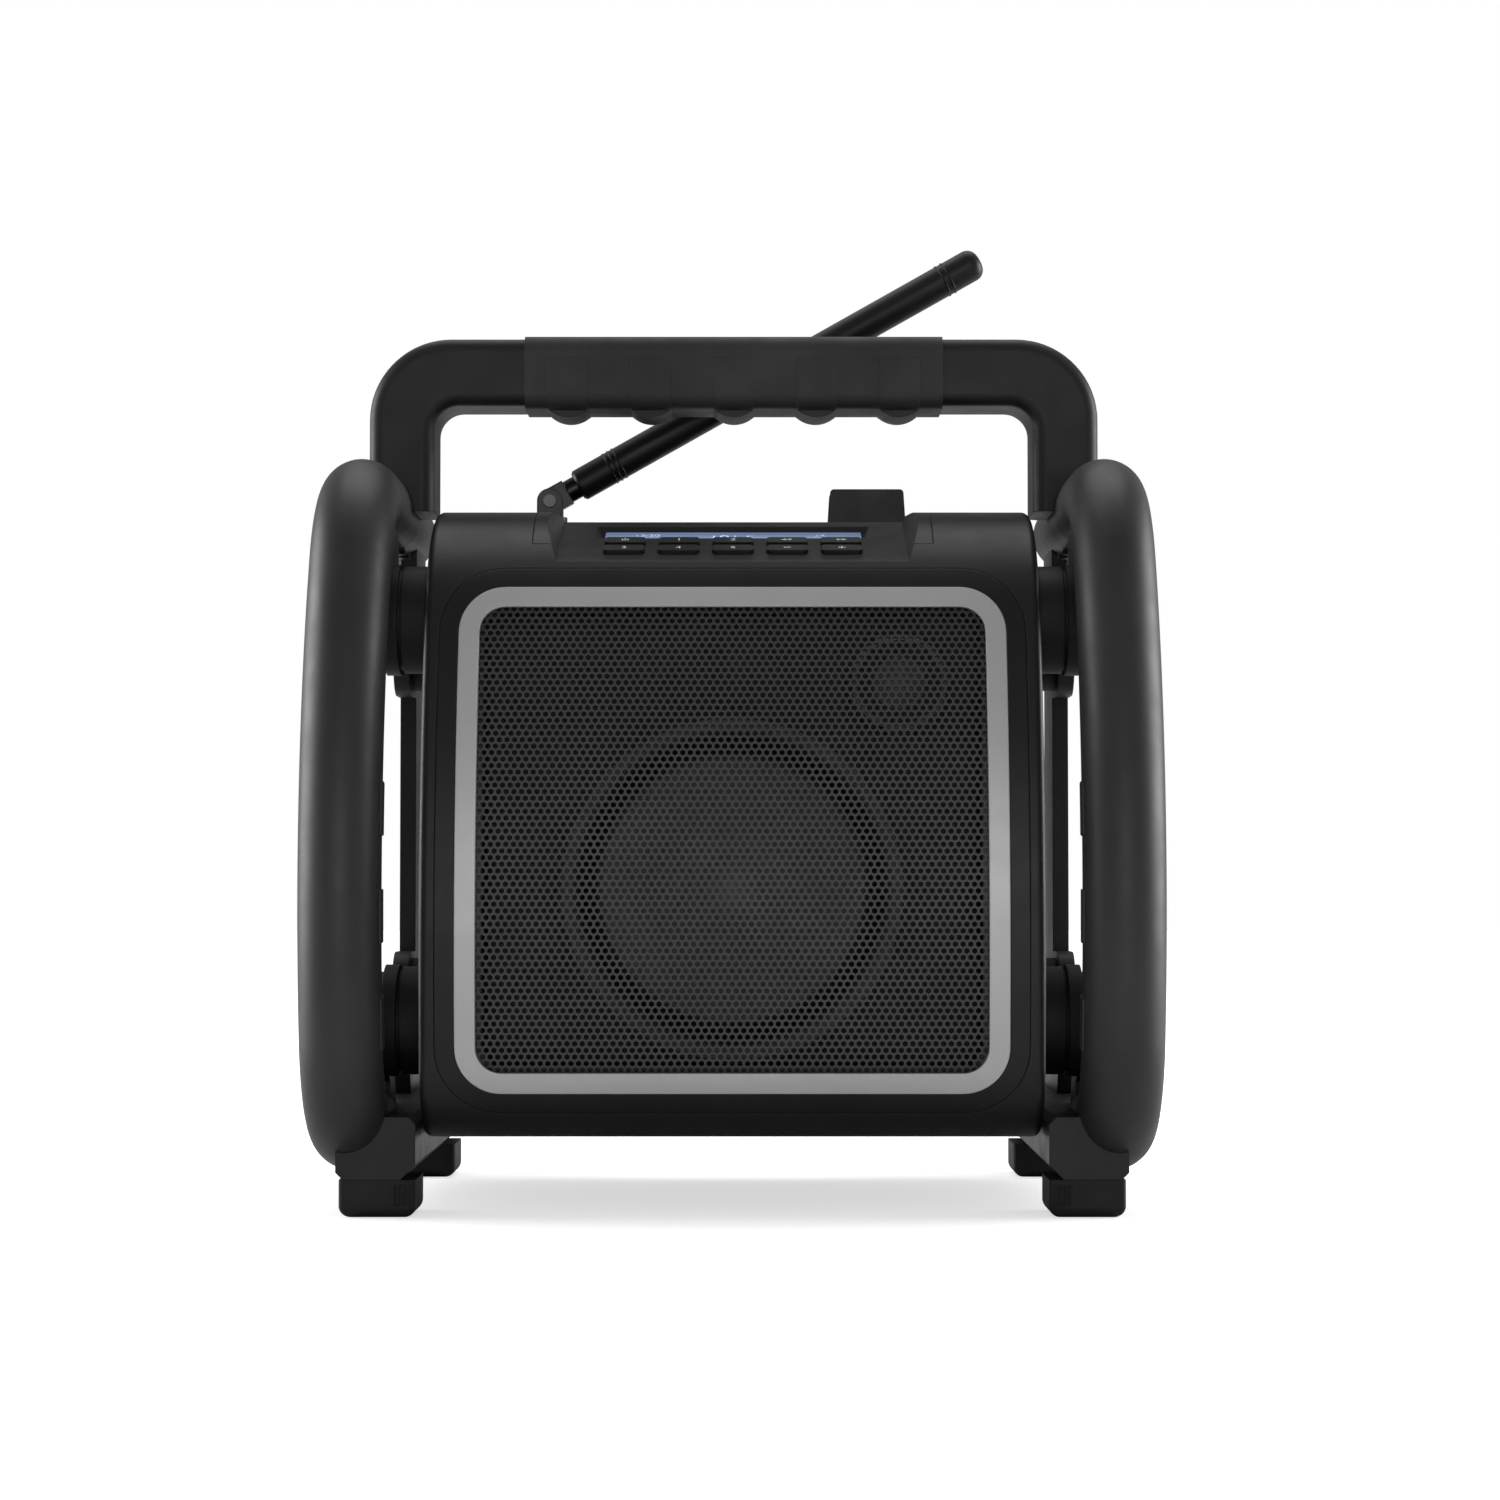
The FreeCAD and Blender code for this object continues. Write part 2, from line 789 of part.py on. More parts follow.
def trim_ring():
    """The light ring round the grille."""
    piece = Piece("trim_ring")
    ring = [frame_rectangle(TRIM_INSET), frame_rectangle(INNER_INSET)]
    piece.add("front", ring, -FAR / 2, 0)
    piece.cut_through("side", FaceProfile(0).air())
    piece.cut_through("side", FaceProfile(S.trim_depth).solid(1))
    return piece.body


def speaker_grille():
    """The bowed sheet in front of the loudspeakers."""
    piece = Piece("speaker_grille")
    piece.add("front", frame_rectangle(GRILLE_INSET), -FAR / 2, 0)
    piece.cut_through("side", FaceProfile(S.trim_depth).air())
    piece.cut_through("side", FaceProfile(GRILLE_BACK).solid(1))
    return piece.body


# Loudspeakers

WOOFER_SEAT = S.woofer_face + S.woofer_flange
TWEETER_SEAT = S.tweeter_face + S.tweeter_flange
BASKET_MOUTH = S.surround_middle - S.surround_roll + S.surround_skin


def speaker_baffle():
    """The plate that carries both loudspeakers, with a raised boss for each."""
    piece = Piece("speaker_baffle")
    piece.add("front", frame_rectangle(S.piece_gap), S.baffle_front, BAFFLE_BACK)
    woofer = Disc(0, S.woofer_height, S.woofer_radius + S.boss_margin)
    tweeter = Disc(S.tweeter_x, S.tweeter_height, S.tweeter_radius + S.boss_margin)
    piece.add("front", woofer, WOOFER_SEAT, S.baffle_front)
    piece.add("front", tweeter, TWEETER_SEAT, S.baffle_front)
    woofer_hole = Disc(0, S.woofer_height, BASKET_MOUTH + S.boss_margin + S.piece_gap)
    tweeter_hole = Disc(S.tweeter_x, S.tweeter_height, S.tweeter_motor + S.piece_gap)
    piece.cut("front", [woofer_hole, tweeter_hole], -FAR / 2, 0)
    return piece.body


def woofer_point(depth, radius):
    """A point of the woofer's section: depth behind its face and distance from its axis."""
    return S.woofer_face + depth, S.woofer_height + radius


def woofer_frame():
    """The pressed basket, from its flange back to the magnet."""
    piece = Piece("woofer_frame")
    wall = S.boss_margin
    section = Outline([
        woofer_point(0, BASKET_MOUTH), woofer_point(S.woofer_flange, BASKET_MOUTH),
        woofer_point(S.basket_depth - wall, S.basket_throat - wall),
        woofer_point(S.basket_depth - wall, S.cone_throat + 2 * wall),
        woofer_point(S.basket_depth, S.cone_throat + 2 * wall),
        woofer_point(S.basket_depth, S.basket_throat),
        woofer_point(S.woofer_flange, BASKET_MOUTH + wall),
        woofer_point(S.woofer_flange, S.woofer_radius), woofer_point(0, S.woofer_radius),
    ])
    piece.turn("side", 0, section, S.woofer_height)
    return piece.body


def woofer_surround():
    """The rubber half roll that lets the cone move."""
    piece = Piece("woofer_surround")
    outer = S.surround_roll
    inner = S.surround_roll - S.surround_skin
    middle = S.surround_middle
    section = Outline([
        woofer_point(0, middle - outer), woofer_point(0, middle - inner) + (inner,),
        woofer_point(-inner, middle) + (inner,),
        woofer_point(0, middle + inner), woofer_point(0, S.woofer_radius),
        woofer_point(-S.surround_skin, S.woofer_radius),
        woofer_point(-S.surround_skin, middle + outer) + (-outer * 1.02,),
        woofer_point(-outer, middle) + (-outer,),
    ])
    piece.turn("side", 0, section, S.woofer_height)
    return piece.body


def woofer_cone():
    """The paper cone and its voice coil former."""
    piece = Piece("woofer_cone")
    mouth = S.surround_middle - S.surround_roll
    skin = S.surround_skin
    throat = S.cone_throat
    section = Outline([
        woofer_point(0, mouth), woofer_point(skin, mouth),
        woofer_point(S.cone_depth + skin, throat + skin),
        woofer_point(S.basket_depth - skin, throat + skin),
        woofer_point(S.basket_depth - skin, throat),
        woofer_point(S.cone_depth, throat),
    ])
    piece.turn("side", 0, section, S.woofer_height)
    return piece.body


def woofer_dust_cap():
    """The small dome in the middle of the cone."""
    piece = Piece("woofer_dust_cap")
    edge = S.cone_throat
    bow = (edge * edge + S.dust_cap_rise * S.dust_cap_rise) / (2 * S.dust_cap_rise)
    section = Outline([
        woofer_point(S.cone_depth, 0), woofer_point(S.cone_depth, edge) + (bow,),
        woofer_point(S.cone_depth - S.dust_cap_rise, 0),
    ])
    piece.turn("side", 0, section, S.woofer_height)
    return piece.body


def woofer_magnet():
    """The magnet and its back plate."""
    piece = Piece("woofer_magnet")
    step = S.seat_lip * 2
    rear = S.basket_depth + S.magnet_depth
    section = Outline([
        woofer_point(S.basket_depth, 0), woofer_point(rear, 0),
        woofer_point(rear, S.magnet_radius - step),
        woofer_point(rear - step, S.magnet_radius - step),
        woofer_point(rear - step, S.magnet_radius),
        woofer_point(S.basket_depth, S.magnet_radius),
    ])
    piece.turn("side", 0, section, S.woofer_height)
    return piece.body


def tweeter_point(depth, radius):
    return S.tweeter_face + depth, S.tweeter_height + radius


def tweeter_body():
    """The tweeter's dished flange and motor."""
    piece = Piece("tweeter_body")
    rear = S.tweeter_flange + S.tweeter_motor_depth
    lip = S.seat_lip
    section = Outline([
        tweeter_point(lip, 0), tweeter_point(rear, 0), tweeter_point(rear, S.tweeter_motor),
        tweeter_point(S.tweeter_flange, S.tweeter_motor),
        tweeter_point(S.tweeter_flange, S.tweeter_radius), tweeter_point(0, S.tweeter_radius),
        tweeter_point(0, S.tweeter_radius - lip), tweeter_point(lip, S.dome_radius),
    ])
    piece.turn("side", S.tweeter_x, section, S.tweeter_height)
    return piece.body


def tweeter_dome():
    piece = Piece("tweeter_dome")
    edge = S.dome_radius - S.surround_skin
    bow = (edge * edge + S.dome_rise * S.dome_rise) / (2 * S.dome_rise)
    seat = S.seat_lip
    section = Outline([
        tweeter_point(seat, 0), tweeter_point(seat, edge) + (bow,),
        tweeter_point(seat - S.dome_rise, 0),
    ])
    piece.turn("side", S.tweeter_x, section, S.tweeter_height)
    return piece.body


# Control panel


def control_panel():
    """The sloped panel between the shoulders, with its button windows and sunk display."""
    piece = Piece("control_panel")
    half = S.valley_half - S.piece_gap
    plate = rectangle(-half, S.panel_lip + S.piece_gap, half, PANEL_LENGTH - S.piece_gap)
    piece.add("panel", plate, -S.panel_thickness, S.face_reach)
    piece.cut_through("side", FaceProfile(0).air())
    piece.cut_through("slope", valley_outline())
    top = rectangle(-FAR, -FAR, FAR, FAR)
    piece.cut("top", top, S.case_top, FAR)
    window = display_rectangle(S.display_slant)
    piece.loft_cut("panel", window, WINDOW_TOP, display_rectangle(0), 0)
    piece.cut("panel", window, -S.panel_thickness, WINDOW_TOP)
    holes = [button_rectangle(column, row, S.button_gap)
             for column in range(-2, 3) for row in (S.front_row, S.rear_row)]
    piece.cut("panel", holes, -S.panel_thickness, 1)
    return piece.body


def display_rectangle(inset):
    inset = as_size(inset)
    return rectangle(-S.display_half + inset, S.display_front + inset / 2,
                     S.display_half - inset, S.display_rear - inset / 2)


def button_rectangle(column, row, grow):
    """The outline of one button, grown evenly, by column from the middle and row place."""
    grow = as_size(grow)
    middle = column * S.button_pitch
    half_width = S.button_width / 2 + grow
    half_length = S.button_length / 2 + grow
    return rectangle(middle - half_width, row - half_length, middle + half_width,
                     row + half_length, S.button_corner + grow)


def button(name, column, row):
    """One key cap, held in by a flange below the panel."""
    piece = Piece(name)
    top = S.button_proud
    flange_top = -(S.panel_thickness + S.piece_gap)
    flange = button_rectangle(column, row, S.button_flange)
    piece.add("panel", button_rectangle(column, row, 0), flange_top, top)
    piece.add("panel", flange, flange_top - S.button_flange, flange_top)
    return piece.body


def display_window():
    """The clear window at the bottom of the display recess."""
    piece = Piece("display_window")
    pane = display_rectangle(S.display_slant + S.piece_gap / 3)
    piece.add("panel", pane, WINDOW_TOP - S.window_thickness, WINDOW_TOP)
    return piece.body


def display_module():
    """The liquid crystal module behind the window."""
    piece = Piece("display_module")
    top = -S.panel_thickness - S.piece_gap
    piece.add("panel", display_rectangle(S.display_slant), top - S.module_depth, top)
    return piece.body


def keypad_board():
    """The board with its rubber contact mat, below the buttons."""
    piece = Piece("keypad_board")
    half = S.button_pitch * 2 + S.button_width
    low = S.front_row - S.button_length / 2 - S.button_flange
    high = S.rear_row + S.button_length / 2 + S.button_flange
    mat = rectangle(-half, low, half, high)
    piece.add("panel", mat, PAD_TOP - S.keypad_thickness, PAD_TOP)
    return piece.body


def amplifier_board():
    """The main board at the back of the chamber, with three components."""
    piece = Piece("amplifier_board")
    rear = S.chamber_rear - S.seat_lip
    board = rectangle(-S.amp_half, S.amp_low, S.amp_half, S.amp_high)
    piece.add("front", board, rear - S.board_thickness, rear)
    middle = (S.amp_low + S.amp_high) / 2
    parts = [Disc(-S.amp_half / 2, middle, S.screw_head * 2), Disc(0, middle, S.screw_head),
             Disc(S.amp_half / 2, middle, S.screw_head * 2)]
    piece.add("front", parts, rear - S.board_thickness - S.chamber_corner,
              rear - S.board_thickness)
    posts = [Disc(side * (S.amp_half - S.screw_head), height, S.screw_shank)
             for side in (-1, 1)
             for height in (S.amp_low + S.screw_head, S.amp_high - S.screw_head)]
    piece.add("front", posts, rear, S.chamber_rear)
    return piece.body


# Roll loops


def loop_path():
    """The bowed front tube, from the upper seam down and round to the lower seam."""
    centre = (S.bow_radius - S.bow_reach, S.bow_height)
    high_z = S.upper_axis - S.upper_elbow
    low_z = S.lower_axis + S.lower_elbow
    high = tangent_arc(centre, S.bow_radius, S.upper_elbow, high_z)
    low = tangent_arc(centre, S.bow_radius, S.lower_elbow, low_z)
    return Path([
        (S.upper_seam, S.upper_axis), (high[0], S.upper_axis, S.upper_elbow),
        (high[1], high[2], S.bow_radius), (low[1], low[2], S.lower_elbow),
        (low[0], S.lower_axis), (S.lower_seam, S.lower_axis),
    ])


def bumper_tube(name, side):
    """The rubber-skinned bow in front of one side of the cabinet."""
    piece = Piece(name)
    x = side * S.loop_x
    section = Disc(x, S.upper_axis, S.tube_radius)
    piece.pipe("side", x, loop_path(), "front", S.upper_seam, section)
    return piece.body


def upper_rail(name, side):
    """The round rail that runs back from the bow and carries the handle."""
    piece = Piece(name)
    x = side * S.loop_x
    piece.add("front", Disc(x, S.upper_axis, S.rail_radius), S.upper_seam, S.rail_rear)
    piece.round(S.rail_end_rounding, lies_at("y", S.rail_rear))
    piece.cut("top", handle_bolt_discs(side, S.bolt_radius + S.bolt_clearance), 0, FAR)
    return piece.body


def handle_bolt_discs(side, radius):
    middle = (S.handle_front + S.handle_rear) / 2
    x = side * (S.loop_x - S.handle_bolt_inset)
    offset = (S.handle_rear - S.handle_front) / 4
    return [Disc(x, middle - offset, radius), Disc(x, middle + offset, radius)]


def lower_rail(name, side, tube):
    """The beam under one side, cut away where the bow lies in it."""
    piece = Piece(name + "_beam")
    c = S.beam_chamfer
    bottom = S.foot_height
    section = [
        (S.beam_inner + c, bottom), (S.beam_outer - c / 2, bottom),
        (S.beam_outer, bottom + c / 2), (S.beam_outer, S.beam_top - c / 2),
        (S.beam_outer - c / 2, S.beam_top), (S.beam_inner + c / 2, S.beam_top),
        (S.beam_inner, S.beam_top - c / 2), (S.beam_inner, bottom + c),
    ]
    outline = Outline([(side * x, z) for x, z in section])
    piece.add("front", outline, S.beam_front, S.beam_rear)
    beam = doc.addObject("Part::Cut", name)
    beam.Label = name
    beam.Base = piece.body
    beam.Tool = tube
    return beam


def front_brackets(name, side):
    """Two brackets that hold the front mounts, one under the bow and one on the beam."""
    piece = Piece(name)
    r = S.bracket_radius
    y = S.mount_front_y
    span = sided(side, S.bracket_inner, S.bracket_inner + S.bracket_thickness)
    heel = S.upper_seam - S.strap_setback
    toe = heel - S.strap_width
    piece.add("side", Disc(y, S.mount_high, r), *span)
    strap = Outline([
        (y - S.strap_front_reach, S.mount_high + S.strap_front_reach),
        (y + S.strap_rear_reach, S.mount_high - S.strap_rear_drop),
        (heel, S.upper_axis - S.strap_heel_drop), (heel, S.upper_axis), (toe, S.upper_axis),
        (toe, S.upper_axis - S.tube_radius + S.strap_overlap),
    ])
    piece.add("side", strap, *span)
    piece.add("side", Disc(y, S.mount_low, r), *span)
    front = S.lower_seam + S.strap_setback
    leg = Outline([
        (front, S.beam_top), (S.lower_seam + S.leg_width, S.beam_top),
        (y + S.leg_rear_reach, S.mount_low + S.leg_rear_rise),
        (y - S.leg_front_reach, S.mount_low - S.leg_front_drop),
        (front, S.lower_axis + S.tube_radius + S.strap_overlap),
    ])
    piece.add("side", leg, *span)
    x = side * S.loop_x
    piece.cut("front", Disc(x, S.upper_axis, S.tube_radius), -FAR / 2, S.upper_seam)
    holes = mount_discs([S.mount_front_y], S.bolt_radius + S.bolt_clearance)
    piece.cut("side", holes, *sided(side, S.mount_radius, FAR / 2))
    return piece.body


def mount_discs(depths, radius):
    return [Disc(y, z, radius) for y in depths for z in (S.mount_low, S.mount_high)]


def rear_side_plate(name, side):
    """The upright at the rear of one loop, with a pad at each rear mount."""
    piece = Piece(name)
    r = S.plate_corner
    front = S.mount_rear_y - S.plate_pad
    low = S.mount_low
    high = S.mount_high
    pad = S.plate_pad
    outline = Outline([
        (front + r, S.beam_top), (S.plate_rear, S.beam_top), (S.plate_rear, S.upper_axis),
        (S.plate_front, S.upper_axis), (S.plate_front, high + pad),
        (front + r, high + pad, r), (front, high + pad - r),
        (front, high - pad + r, r), (front + r, high - pad), (S.plate_front, high - pad),
        (S.plate_front, low + pad), (front + r, low + pad, r), (front, low + pad - r),
        (front, low - pad + r),
    ])
    span = sided(side, S.bracket_inner, S.bracket_inner + S.bracket_thickness)
    piece.add("side", outline, *span)
    x = side * S.loop_x
    piece.cut("front", Disc(x, S.upper_axis, S.rail_radius), 0, FAR)
    holes = mount_discs([S.mount_rear_y], S.bolt_radius + S.bolt_clearance)
    piece.cut("side", holes, *sided(side, S.mount_radius, FAR / 2))
    return piece.body


def shock_mounts(name, side):
    """Four rubber mounts between the cabinet and one loop."""
    piece = Piece(name)
    depths = [S.mount_front_y, S.mount_rear_y]
    flange = S.bracket_inner - S.mount_flange
    groove = flange - S.mount_groove
    piece.add("side", mount_discs(depths, S.mount_radius), *sided(side, CASE_HALF, groove))
    neck = S.mount_radius - S.mount_groove
    piece.add("side", mount_discs(depths, neck), *sided(side, groove, flange))
    wide = mount_discs(depths, S.mount_flange_radius)
    piece.add("side", wide, *sided(side, flange, S.bracket_inner))
    holes = mount_discs(depths, S.bolt_radius + S.bolt_clearance)
    piece.cut("side", holes, *sided(side, CASE_HALF + S.mount_flange, FAR / 2))
    return piece.body


def foot(name, side, front):
    """A rubber foot with a rounded sole."""
    piece = Piece(name)
    low, high = sided(side, S.beam_inner, S.foot_outer)
    piece.add("top", rectangle(low, front, high, front + S.foot_length, S.foot_corner), 0,
              S.foot_height)
    piece.round(S.foot_rounding, lies_at("z", 0))
    return piece.body


# Carry handle


def carry_handle():
    """The arch over the radio, seated on both upper rails."""
    piece = Piece("carry_handle")
    outer = S.handle_outer
    inner = S.handle_outer - S.handle_leg
    big = S.handle_outer_corner
    small = S.handle_inner_corner
    top = S.handle_bar_high
    low = S.handle_bar_low
    seat = S.upper_axis
    arch = Outline([
        (inner, seat), (outer, seat), (outer, top - big, big),
        (outer - big, top), (-outer + big, top, big), (-outer, top - big),
        (-outer, seat), (-inner, seat), (-inner, low - small, -small),
        (-inner + small, low), (inner - small, low, -small), (inner, low - small),
    ])
    piece.add("front", arch, S.handle_front, S.handle_rear)
    faces = any_of(lies_at("y", S.handle_front), lies_at("y", S.handle_rear))
    piece.round(S.handle_rounding, faces, not_at("z", seat))
    rails = [Disc(side * S.loop_x, S.upper_axis, S.rail_radius) for side in (-1, 1)]
    piece.cut("front", rails, -FAR / 2, FAR / 2)
    for side in (-1, 1):
        holes = handle_bolt_discs(side, S.bolt_radius + S.bolt_clearance)
        piece.cut("top", holes, 0, HANDLE_BOLT_TOP + S.piece_gap)
    return piece.body


HANDLE_BOLT_TOP = S.upper_axis + S.rail_radius * 2


def frame_bolts():
    """The bolts of the loops: eight through the rubber mounts and four up into the handle."""
    piece = Piece("frame_bolts")
    outer = S.bracket_inner + S.bracket_thickness
    under = S.upper_axis - S.rail_radius
    depths = [S.mount_front_y, S.mount_rear_y]
    for side in (-1, 1):
        shank = mount_discs(depths, S.bolt_radius)
        piece.add("side", shank, *sided(side, S.bracket_inner - S.mount_flange, outer))
        head = mount_discs(depths, S.bolt_head_radius)
        piece.add("side", head, *sided(side, outer, outer + S.bolt_head))
        upright = handle_bolt_discs(side, S.bolt_radius)
        piece.add("top", upright, under, HANDLE_BOLT_TOP)
        sunk = handle_bolt_discs(side, S.bolt_head_radius)
        piece.add("top", sunk, under - S.bolt_head / 2, under)
    return piece.body


def handle_grip():
    """The soft sleeve on the bar, with five finger ridges."""
    piece = Piece("handle_grip")
    skin = S.grip_skin
    outer = rectangle(S.handle_front - skin, S.handle_bar_low - skin, S.handle_rear + skin,
                      S.handle_bar_high + skin, S.handle_rounding + skin)
    piece.add("side", outer, -S.grip_half, S.grip_half)
    half = S.ridge_width / 2
    bow = (half * half + S.ridge_drop * S.ridge_drop) / (2 * S.ridge_drop)
    low = S.handle_bar_low - skin
    row = (S.ridge_count - 1) * S.ridge_pitch
    first = -row / 2
    bump = Outline([
        (first - half, low + S.handle_rounding), (first - half, low, bow),
        (first + half, low), (first + half, low + S.handle_rounding),
    ])
    inset = S.handle_rounding
    ridge = piece.add("front", bump, S.handle_front + inset, S.handle_rear - inset)
    piece.repeat(ridge, "X_Axis", row, S.ridge_count)
    bar = rectangle(S.handle_front, S.handle_bar_low, S.handle_rear, S.handle_bar_high,
                    S.handle_rounding)
    piece.cut("side", bar, -FAR / 2, FAR / 2)
    return piece.body


# Antenna


def antenna_swivel():
    """The turntable and fork that the antenna folds in."""
    piece = Piece("antenna_swivel")
    x = S.antenna_x
    y = S.antenna_y
    cheek = S.knuckle_half + S.fork_gap
    piece.add("top", Disc(x, y, S.swivel_radius), S.rear_top, S.rear_top + S.swivel_disc)
    neck_radius = S.swivel_radius - S.seat_lip
    piece.add("top", Disc(x, y, neck_radius), S.rear_top + S.swivel_disc, S.swivel_neck_top)
    r = S.knuckle_radius
    ear = Outline([
        (x - r, S.swivel_neck_top - 1), (x + r, S.swivel_neck_top - 1),
        (x + r, S.antenna_pivot, r), (x, S.antenna_pivot + r, r), (x - r, S.antenna_pivot),
    ])
    for low in (y - cheek - S.fork_cheek, y + cheek):
        piece.add("front", ear, low, low + S.fork_cheek)
    hole = Disc(x, S.antenna_pivot, S.pivot_pin)
    piece.cut("front", hole, 0, FAR)
    return piece.body


def antenna_pivot_screw():
    """The screw that the antenna folds on."""
    piece = Piece("antenna_pivot_screw")
    half = S.knuckle_half + S.fork_gap + S.fork_cheek
    centre = (S.antenna_x, S.antenna_pivot)
    low = S.antenna_y - half
    high = S.antenna_y + half
    piece.add("front", Disc(*centre, S.pivot_pin), low, high)
    for start in (low - S.pivot_head_height, high):
        head = Disc(*centre, S.pivot_head)
        piece.add("front", head, start, start + S.pivot_head_height)
    return piece.body


def place_on_antenna(body):
    """Set a body drawn along X at the pivot, raised to the antenna's rest angle."""
    body.Placement = Placement(Vector(), Rotation(Vector(0, -1, 0), S.antenna_angle.value))
    bind(body, "Placement.Base.x", S.antenna_x)
    bind(body, "Placement.Base.y", S.antenna_y)
    bind(body, "Placement.Base.z", S.antenna_pivot)
    bind(body, "Placement.Rotation.Angle", S.antenna_angle)
    return body


def antenna_knuckle():
    """The metal tongue between the fork and the sleeve."""
    piece = Piece("antenna_knuckle")
    half = S.knuckle_half
    r = S.knuckle_radius
    tongue = Outline([
        (0, -r), (S.antenna_sleeve - S.antenna_neck, -r), (S.antenna_sleeve - S.antenna_neck, r),
        (0, r, r), (-r, 0, r),
    ])
    piece.add("front", tongue, -half, half)
    neck = Disc(0, 0, S.antenna_neck)
    piece.add("side", neck, S.antenna_sleeve - S.antenna_neck, S.antenna_sleeve)
    hole = Disc(0, 0, S.pivot_pin + S.hinge_clearance)
    piece.cut_through("front", hole)
    return place_on_antenna(piece.body)


def antenna_rod():
    """The flexible sleeve."""
    piece = Piece("antenna_rod")
    end = S.antenna_length - S.antenna_cap
    r = S.antenna_radius
    piece.add("side", Disc(0, 0, r), S.antenna_sleeve, end)
    piece.chamfer(S.surround_skin, lies_at("x", S.antenna_sleeve))
    return place_on_antenna(piece.body)


def antenna_tip():
    """The moulded cap on the antenna's end."""
    piece = Piece("antenna_tip")
    start = S.antenna_length - S.antenna_cap
    piece.add("side", Disc(0, 0, S.antenna_radius), start, S.antenna_length)
    piece.round(S.antenna_neck, lies_at("x", S.antenna_length))
    return place_on_antenna(piece.body)


def antenna_clip():
    """The open clip that holds the antenna when it is folded down."""
    piece = Piece("antenna_clip")
    half = S.clip_width / 2
    inner = S.antenna_radius + S.clip_gap
    outer = inner + S.clip_wall
    floor = S.antenna_pivot - inner
    low = S.antenna_y - outer
    high = S.antenna_y + outer
    r = S.clip_corner
    front = Outline([
        (S.clip_x - half, S.rear_top), (S.clip_x + half, S.rear_top),
        (S.clip_x + half - S.surround_skin, S.clip_top - r, r),
        (S.clip_x + half - S.surround_skin - r, S.clip_top),
        (S.clip_x - half + S.surround_skin + r, S.clip_top, r),
        (S.clip_x - half + S.surround_skin, S.clip_top - r),
    ])
    piece.add("front", front, low, high)
    channel = Outline([
        (S.antenna_y - inner, S.antenna_pivot, inner), (S.antenna_y, floor, inner),
        (S.antenna_y + inner, S.antenna_pivot), (S.antenna_y + inner, FAR),
        (S.antenna_y - inner, FAR),
    ])
    piece.cut_through("side", channel)
    return piece.body


# Hinges of the rear covers


class RearHinge:
    """A hinge on the rear face: two pairs of case knuckles with a leaf knuckle between."""

    def __init__(self, height, spread, leaf_side):
        self.y = S.case_rear + S.hinge_radius
        self.z = as_size(height)
        self.spread = as_size(spread)
        self.leaf_side = leaf_side

    def knuckles(self, piece, low, high, towards):
        """Add one knuckle between two places along X, webbed to the face above or below."""
        r = S.hinge_radius - S.hinge_gap
        web = self.z + towards * S.hinge_web
        face = S.case_rear
        bottom, top = (self.z, web) if towards > 0 else (web, self.z)
        piece.add("side", Disc(self.y, self.z, r), low, high)
        piece.add("side", rectangle(face, bottom, self.y, top), low, high)

    def case_side(self, piece):
        for side in (-1, 1):
            middle = side * self.spread
            for step in (-1, 1):
                inner = middle + step * (S.hinge_leaf / 2 + S.hinge_gap)
                outer = inner + step * S.hinge_leaf
                low, high = (outer, inner) if step < 0 else (inner, outer)
                self.knuckles(piece, low, high, -self.leaf_side)
                piece.cut("side", Disc(self.y, self.z, S.hinge_pin), low, high)

    def leaf(self, piece):
        for side in (-1, 1):
            low = side * self.spread - S.hinge_leaf / 2
            high = low + S.hinge_leaf
            self.knuckles(piece, low, high, self.leaf_side)
            piece.cut("side", Disc(self.y, self.z, S.hinge_pin + S.hinge_clearance), low, high)

    def pins(self, piece):
        reach = S.hinge_leaf * 1.5 + S.hinge_gap
        for side in (-1, 1):
            middle = side * self.spread
            piece.add("side", Disc(self.y, self.z, S.hinge_pin), middle - reach, middle + reach)


def door_hinge():
    return RearHinge(S.bay_low - S.door_lap, S.bay_half / 2, 1)


def cover_hinge():
    return RearHinge(S.socket_high + S.seat_lip, S.socket_half / 2, -1)


def hinge_pins():
    """The steel pins of both rear hinges."""
    piece = Piece("hinge_pins")
    door_hinge().pins(piece)
    cover_hinge().pins(piece)
    return piece.body


# Battery bay


def door_rectangle(grow):
    grow = as_size(grow) - S.door_lap
    return rectangle(-S.bay_half + grow, S.bay_low + grow, S.bay_half - grow,
                     S.bay_high - grow, S.hinge_radius)


def battery_door():
    """The rear door, hinged along its lower edge."""
    piece = Piece("battery_door")
    piece.add("front", door_rectangle(0), S.case_rear - S.door_thickness, S.case_rear)
    door_hinge().leaf(piece)
    return piece.body


def battery_pack():
    """The battery block in its bay."""
    piece = Piece("battery_pack")
    gap = S.battery_gap
    front = S.case_rear - S.bay_depth
    block = rectangle(-S.bay_half + gap, S.bay_low, S.bay_half - gap, S.bay_high - gap,
                      S.rail_end_rounding)
    piece.add("front", block, front, S.case_rear - S.door_thickness - gap)
    return piece.body


def battery_latch():
    """The sliding catch at the top of the door."""
    piece = Piece("battery_latch")
    top = S.bay_high + S.door_lap - S.latch_travel
    pad = rectangle(-S.latch_half, top - S.latch_height, S.latch_half, top, S.clip_corner)
    piece.add("front", pad, S.case_rear, S.case_rear + S.seat_lip)
    for step in range(3):
        high = top - (step + 1) * S.groove_pitch
        groove = rectangle(-S.latch_half + S.seat_lip, high - S.groove_width,
                           S.latch_half - S.seat_lip, high)
        piece.cut("front", groove, S.case_rear + S.seat_lip - S.groove_width, FAR)
    return piece.body


# Socket bay


def cover_rectangle(grow):
    grow = as_size(grow) - S.seat_lip
    return rectangle(-S.socket_half + grow, S.socket_low + grow, S.socket_half - grow,
                     S.socket_high - grow, S.clip_corner)


